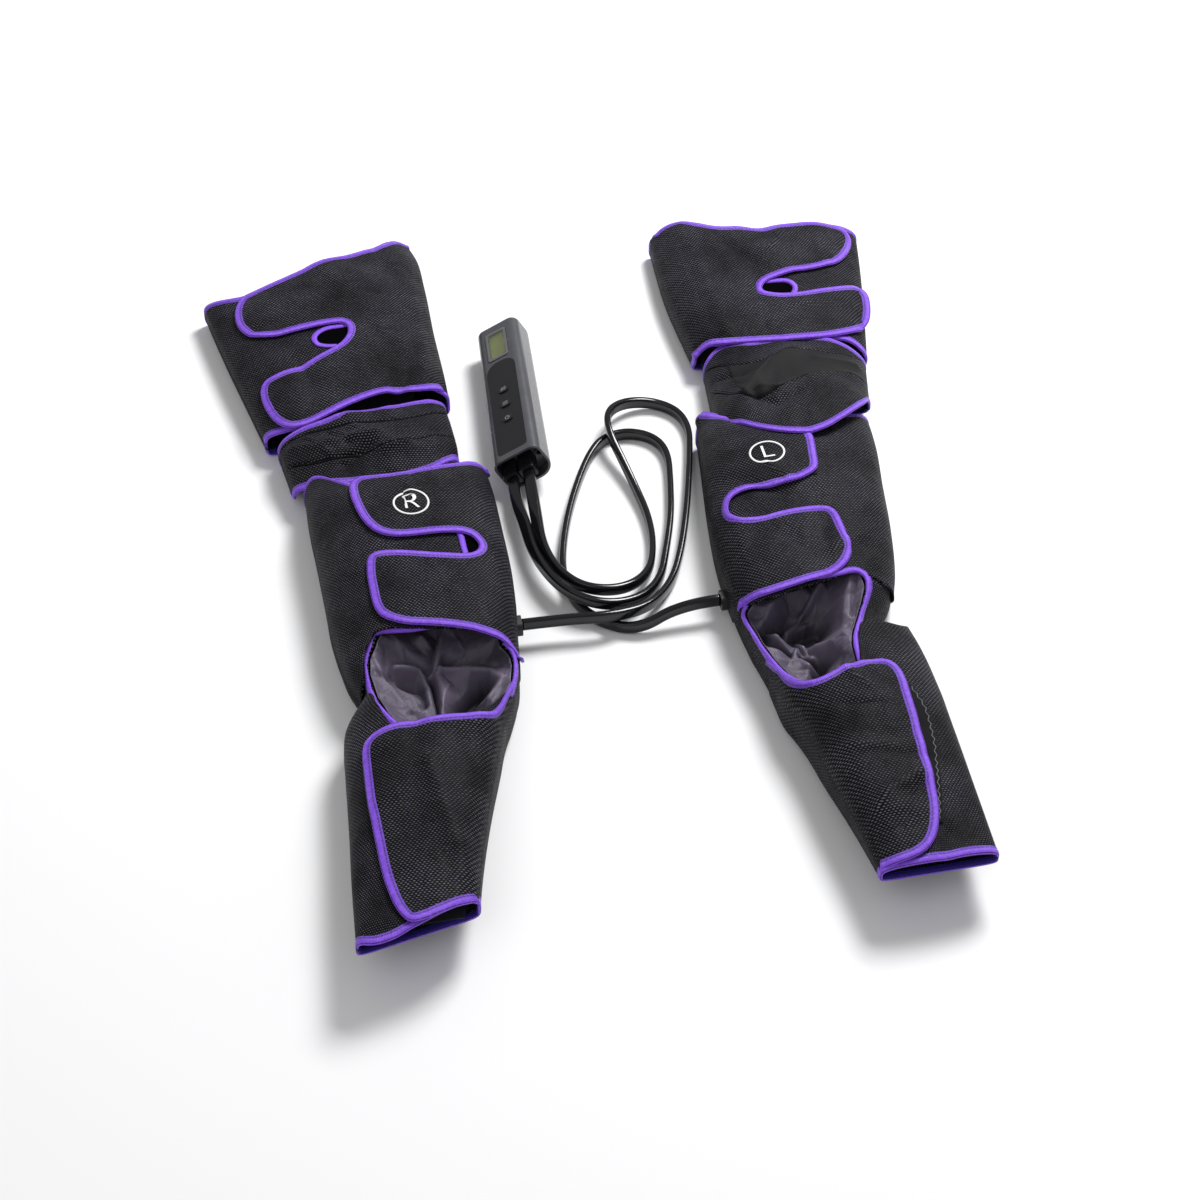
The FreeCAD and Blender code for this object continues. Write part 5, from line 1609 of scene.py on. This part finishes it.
class WRAP_OT_flaps(bpy.types.Operator):
    """Closing flaps with their tapes and slots, the loop patches under them and the side marks"""

    bl_idname = "wrap.flaps"
    bl_label = "Flaps"

    def execute(self, context):
        for name, side in FLAPS:
            self.flap(name, side, context.scene.wrap_sizes)
        for name, side in SLOT_EDGES:
            self.slot_end(name, side, context.scene.wrap_sizes)
        for side in SIDES:
            self.patches(side)
            self.mark(side, context.scene.wrap_sizes)
        return {"FINISHED"}

    def flap(self, name, side, sizes):
        """Flap with its binding tape. The strip beside its hinge is worked out, but nothing bends the flap
        there.
        """
        body = f"{name}_flap_{side}"
        surface = flap_surface(name, side)
        line, root = flap_outline(name, side)
        border = np.concatenate([line, root[1:-1]])
        flap = make_filled(f"{body}_cloth", surface, border, sizes.cloth_depth, "mesh_cloth")
        shape = tape_section(sizes.tape_width, sizes.tape_depth)
        inward = left_of(line) * outline_turn(border)
        base, across = plan_base(surface, line, inward, shape, sizes.cloth_depth)
        base, across = tuck_ends(base, across, np.array((-SIDES[side], 0, 0)), (name, side) in HIGH_TUCKS)
        tape = make_tape(f"{name}_flap_tape_cloth_{side}", base, across, shape)
        start, end = hinge_zone(name, side, root)
        for piece, node in ((flap, body), (tape, f"{name}_flap_tape_{side}")):
            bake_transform(piece)
            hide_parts(node)

    def slot_end(self, name, side, sizes):
        """Black sheet of painted shadow where a flap's slot opens, and the bound edge of the panel under it.
        """
        surface = sleeve_surface(side, SLEEVES[name][side], 1.0)
        # Painted shadow: a black sheet stands for the dark inside of the sleeve seen through the slot
        corners = SLOT_SHADOWS[name, side]
        hollow = spread(soften(corners + corners[:1]), SHADOW_POINTS)[:-1]
        dark = make_filled(f"{name}_slot_hollow_{side}", surface, hollow, PRINT_DEPTH, "slot_shadow",
                           lift=SLOT_LIFT)
        line = spread(soften(SLOT_EDGES[name, side]), SLOT_POINTS)
        shape = tape_section(SLOT_TAPE, sizes.tape_depth * SLOT_TAPE_SHARE)
        inward = beside_line(line, line - hollow.mean(axis=0))
        base, normal = plan_base(surface, line, inward, shape, -sizes.cloth_depth / 2)
        edge = make_tape(f"{name}_slot_edge_{side}", base, normal, shape)
        for piece in (dark, edge):
            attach(piece, "wrap")

    def patches(self, side):
        """Loop patches on the sleeve under the free end of each flap, and the foot's stitched strip."""
        for name, (low_s, high_s, low_y, high_y) in LOOP_PATCHES[side].items():
            stations = SLEEVES[name.split("_")[0]][side]
            s = np.linspace(low_s, high_s, PATCH_GRID[0])[:, None]
            y = np.linspace(low_y, high_y, PATCH_GRID[1])[None]
            lay(f"{name}_loop_patch_{side}", side, stations, s, y, PATCH_LIFT, PATCH_DEPTH,
                              "loop_cloth")
        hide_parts(f"loop_patches_{side}")
        stations = LOWER_LEG[side]
        inner, outer = FOOT_STRIPS[side]
        knots, places = np.array(outer, float).T
        y = np.linspace(knots[0], knots[-1], STRIP_POINTS)
        s = inner + (follow(y, knots, places) - inner) * np.linspace(0, 1, PATCH_GRID[0])[:, None]
        lay(f"foot_loop_patch_{side}", side, stations, s, y, PATCH_LIFT, PATCH_DEPTH, "loop_cloth")
        y = np.linspace(knots[0] + STITCH_INSET, knots[-1] - STITCH_INSET, STITCH_POINTS)
        sway = STITCH_SWAY * np.abs((y / STITCH_STEP) % 2 - 1)
        off = np.array((-STITCH_LINE, 0, STITCH_LINE))[:, None]
        s = follow(y, knots, places) - STITCH_INSET + sway + off
        lay(f"foot_loop_stitch_{side}", side, stations, s, y + 0 * s, STITCH_LIFT, PRINT_DEPTH,
            "stitch_thread")

    def mark(self, side, sizes):
        """Side mark: a printed ring and its letter, laid on the calf flap."""
        surface = flap_surface("calf", side)
        middle_s, middle_y, letter = MARKS[side]
        turn = np.linspace(0, 2 * math.pi, RING_POINTS, endpoint=False)[:, None]
        radius = (sizes.ring_width / 2 - np.linspace(0, sizes.ring_line, 3)[None]) / MM
        s = middle_s + SIDES[side] * radius * np.cos(turn)
        points, normal = surface(s, middle_y + radius * np.sin(turn))
        points = points + normal * RING_LIFT
        ring = make_shell(f"side_ring_{side}", points, PRINT_DEPTH, "mark_print", closed=True)
        words = bpy.data.curves.new(f"letter_{side}", "FONT")
        words.body = letter
        words.size = LETTER_SIZE
        words.offset = LETTER_SLIM
        words.align_x = "CENTER"
        words.align_y = "CENTER"
        holder = bpy.data.objects.new(f"letter_{side}", words)
        flat = bpy.data.meshes.new_from_object(holder)
        bpy.data.objects.remove(holder)
        across, along, _ = read_points(flat).T / MM
        points, normal = surface(middle_s + SIDES[side] * across, middle_y + along)
        flat.vertices.foreach_set("co", (points + normal * LETTER_LIFT).ravel())
        flat.materials.append(finishes()["mark_print"])
        for piece in (ring, make_object(f"side_letter_{side}", flat)):
            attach(piece, f"calf_flap_{side}")


class WRAP_OT_hoses(bpy.types.Operator):
    """Flat air hoses from the controller to the calves"""

    bl_idname = "wrap.hoses"
    bl_label = "Hoses"

    def execute(self, context):
        sizes = context.scene.wrap_sizes
        turn = np.linspace(0, 2 * math.pi, HOSE_AROUND, endpoint=False)[:, None, None]
        wide = signed_power(np.cos(turn), HOSE_ROUND) * sizes.hose_depth / 2
        high = signed_power(np.sin(turn), HOSE_ROUND) * sizes.hose_height / 2
        for side, route in HOSE_ROUTES.items():
            path = self.centreline(side, route) + UP * (sizes.hose_height / 2 - ROUTE_LEVEL)
            along = distances(path)
            tangent = unit(np.gradient(path, axis=0))
            beside = unit(np.cross(tangent, UP))
            above = np.cross(beside, tangent)
            roll = PLUG_ROLL * (1 - ease((along - HOSE_TWIST[0]) / HOSE_TWIST[1]))[:, None]
            slim = np.cos(roll) * beside + np.sin(roll) * above
            tall = np.cos(roll) * above - np.sin(roll) * beside
            points = path[None] + wide * slim[None] + high * tall[None]
            girth = np.linspace(0, HOSE_GIRTH, HOSE_AROUND)
            uv = np.stack(np.meshgrid(girth, along, indexing="ij"), axis=-1)
            hose = make_tube(f"hose_ribbon_{side}", points, points - path[None], uv, "hose_rubber")
            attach(hose, "wrap")
            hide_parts(f"hose_{side}")
        return {"FINISHED"}

    def centreline(self, side, route):
        """Points along one smooth spline whose control points are the route's."""
        curve = bpy.data.curves.new(f"hose_line_{side}", "CURVE")
        curve.dimensions = "3D"
        curve.resolution_u = HOSE_STEPS
        spline = curve.splines.new("NURBS")
        spline.points.add(len(route) - 1)
        for point, where in zip(spline.points, route):
            point.co = (*where, 1.0)
        spline.order_u = 3
        spline.use_endpoint_u = True
        holder = bpy.data.objects.new(f"hose_line_{side}", curve)
        line = bpy.data.meshes.new_from_object(holder)
        path = read_points(line).astype(float)
        bpy.data.objects.remove(holder)
        bpy.data.meshes.remove(line)
        return spread(path, HOSE_POINTS)


class WRAP_OT_controller(bpy.types.Operator):
    """Finishes of the controller and of the solids that show, and the marks on its buttons"""

    bl_idname = "wrap.controller"
    bl_label = "Controller"

    def execute(self, _context):
        for part in frame["record"]["subparts"]:
            materials = frame["nodes"][part["node"]].data.materials
            materials.clear()
            materials.append(finishes()[part["material_slot"]])
        normal = -np.array(joint_facts("button_power_press")["axis"])
        along = np.array((math.sin(CASE_TURN), math.cos(CASE_TURN), 0.0))
        across = np.cross(along, normal)
        for name, where in BUTTONS.items():
            middle = np.array(CASE_BASE) + along * where + normal * BUTTON_TOP
            for number, line in enumerate(self.icon_lines()[name]):
                line = spread(line, ICON_POINTS)
                off = np.array((-ICON_LINE, 0, ICON_LINE))[:, None, None]
                plan = line[None] + off * left_of(line)[None]
                points = middle + plan[..., :1] * across + plan[..., 1:] * along + normal * ICON_LIFT
                icon = make_shell(f"{name}_icon_{number}", points, ICON_DEPTH, "icon_print", out=normal)
                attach(icon, f"button_{name}")
        return {"FINISHED"}

    def icon_lines(self):
        """Lines of each button's mark: a broken ring and a stroke, three bars, and three waves."""
        turn = np.linspace(*RING_ARC)
        wave = np.linspace(-1, 1, ICON_POINTS)
        ring = np.stack([np.cos(turn), np.sin(turn)], axis=1) * RING_RADIUS
        return {
            "power": [ring, np.array([(0, height) for height in RING_STROKE])],
            "mode": [np.array(((-BAR_REACH, level), (BAR_REACH, level)))
                     for level in (-BAR_GAP, 0, BAR_GAP)],
            "heat": [np.stack([WAVE_SWAY * np.sin(WAVE_TURN * wave) + shift, WAVE_REACH * wave], axis=1)
                     for shift in (-WAVE_GAP, 0, WAVE_GAP)],
        }


class WRAP_OT_stage(bpy.types.Operator):
    """Pale floor, soft studio light and the camera"""

    bl_idname = "wrap.stage"
    bl_label = "Floor, light and camera"

    def execute(self, context):
        scene = context.scene
        ground, tree, shader, vector = start_material("pale_floor", "Object", Roughness=0.7)
        slow = noise_node(tree, vector, scale=3.0)
        tint = shades_node(tree, slow, scene.wrap_colours.floor, dark=0.995, light=1.0)
        tree.links.new(tint, shader["Base Color"])
        mesh = bpy.data.meshes.new("floor")
        corners = [(x * FLOOR_REACH, y * FLOOR_REACH, 0) for x, y in ((-1, -1), (1, -1), (1, 1), (-1, 1))]
        mesh.from_pydata(corners, [], [(0, 1, 2, 3)])
        mesh.materials.append(ground)
        make_object("floor", mesh)
        scene.world = bpy.data.worlds.new("studio")
        scene.world.use_nodes = True
        background = scene.world.node_tree.nodes["Background"].inputs
        background["Color"].default_value = (1.0, 1.0, 1.0, 1.0)
        background["Strength"].default_value = WORLD_LIGHT
        for name, (where, size, power) in LAMPS.items():
            lamp = bpy.data.lights.new(name, "AREA")
            lamp.size = size
            lamp.energy = power
            self.aim(make_object(name, lamp), where, (0, 0, 0))
        lens = bpy.data.cameras.new("camera")
        lens.lens = CAMERA_LENS
        lens.sensor_width = CAMERA_SENSOR
        scene.camera = make_object("camera", lens)
        self.aim(scene.camera, CAMERA_PLACE, CAMERA_AIM)
        scene.view_settings.view_transform = "Standard"
        return {"FINISHED"}

    def aim(self, holder, where, target):
        """Puts a lamp or the camera in its place and points it at a target."""
        holder.location = where
        holder.rotation_euler = (Vector(target) - Vector(where)).to_track_quat("-Z", "Y").to_euler()


class WRAP_PT_panel(bpy.types.Panel):
    """Sizes, colours and pieces of the leg wraps"""

    bl_idname = "WRAP_PT_panel"
    bl_label = "Leg wraps"
    bl_space_type = "VIEW_3D"
    bl_region_type = "UI"
    bl_category = "Leg wraps"

    def draw(self, context):
        for group in (context.scene.wrap_sizes, context.scene.wrap_colours):
            for name in group.__annotations__:
                self.layout.prop(group, name)
        for operator in OPERATORS:
            self.layout.operator(operator.bl_idname)


OPERATORS = (WRAP_OT_sleeves, WRAP_OT_heels, WRAP_OT_flaps, WRAP_OT_hoses, WRAP_OT_controller, WRAP_OT_stage)
CLASSES = (WrapColours, WrapSizes) + OPERATORS + (WRAP_PT_panel,)


def register():
    """Registers the classes and puts their settings on the scene."""
    for item in CLASSES:
        bpy.utils.register_class(item)
    bpy.types.Scene.wrap_colours = bpy.props.PointerProperty(type=WrapColours)
    bpy.types.Scene.wrap_sizes = bpy.props.PointerProperty(type=WrapSizes)


def unregister():
    """Takes the settings and the classes away again."""
    del bpy.types.Scene.wrap_sizes
    del bpy.types.Scene.wrap_colours
    for item in reversed(CLASSES):
        bpy.utils.unregister_class(item)


def main():
    """Builds every piece in order."""
    register()
    bpy.ops.wrap.stage()
    bpy.ops.wrap.hoses()
    bpy.ops.wrap.controller()
    bpy.ops.wrap.sleeves()
    bpy.ops.wrap.heels()
    bpy.ops.wrap.flaps()


if __name__ == "__main__":
    main()
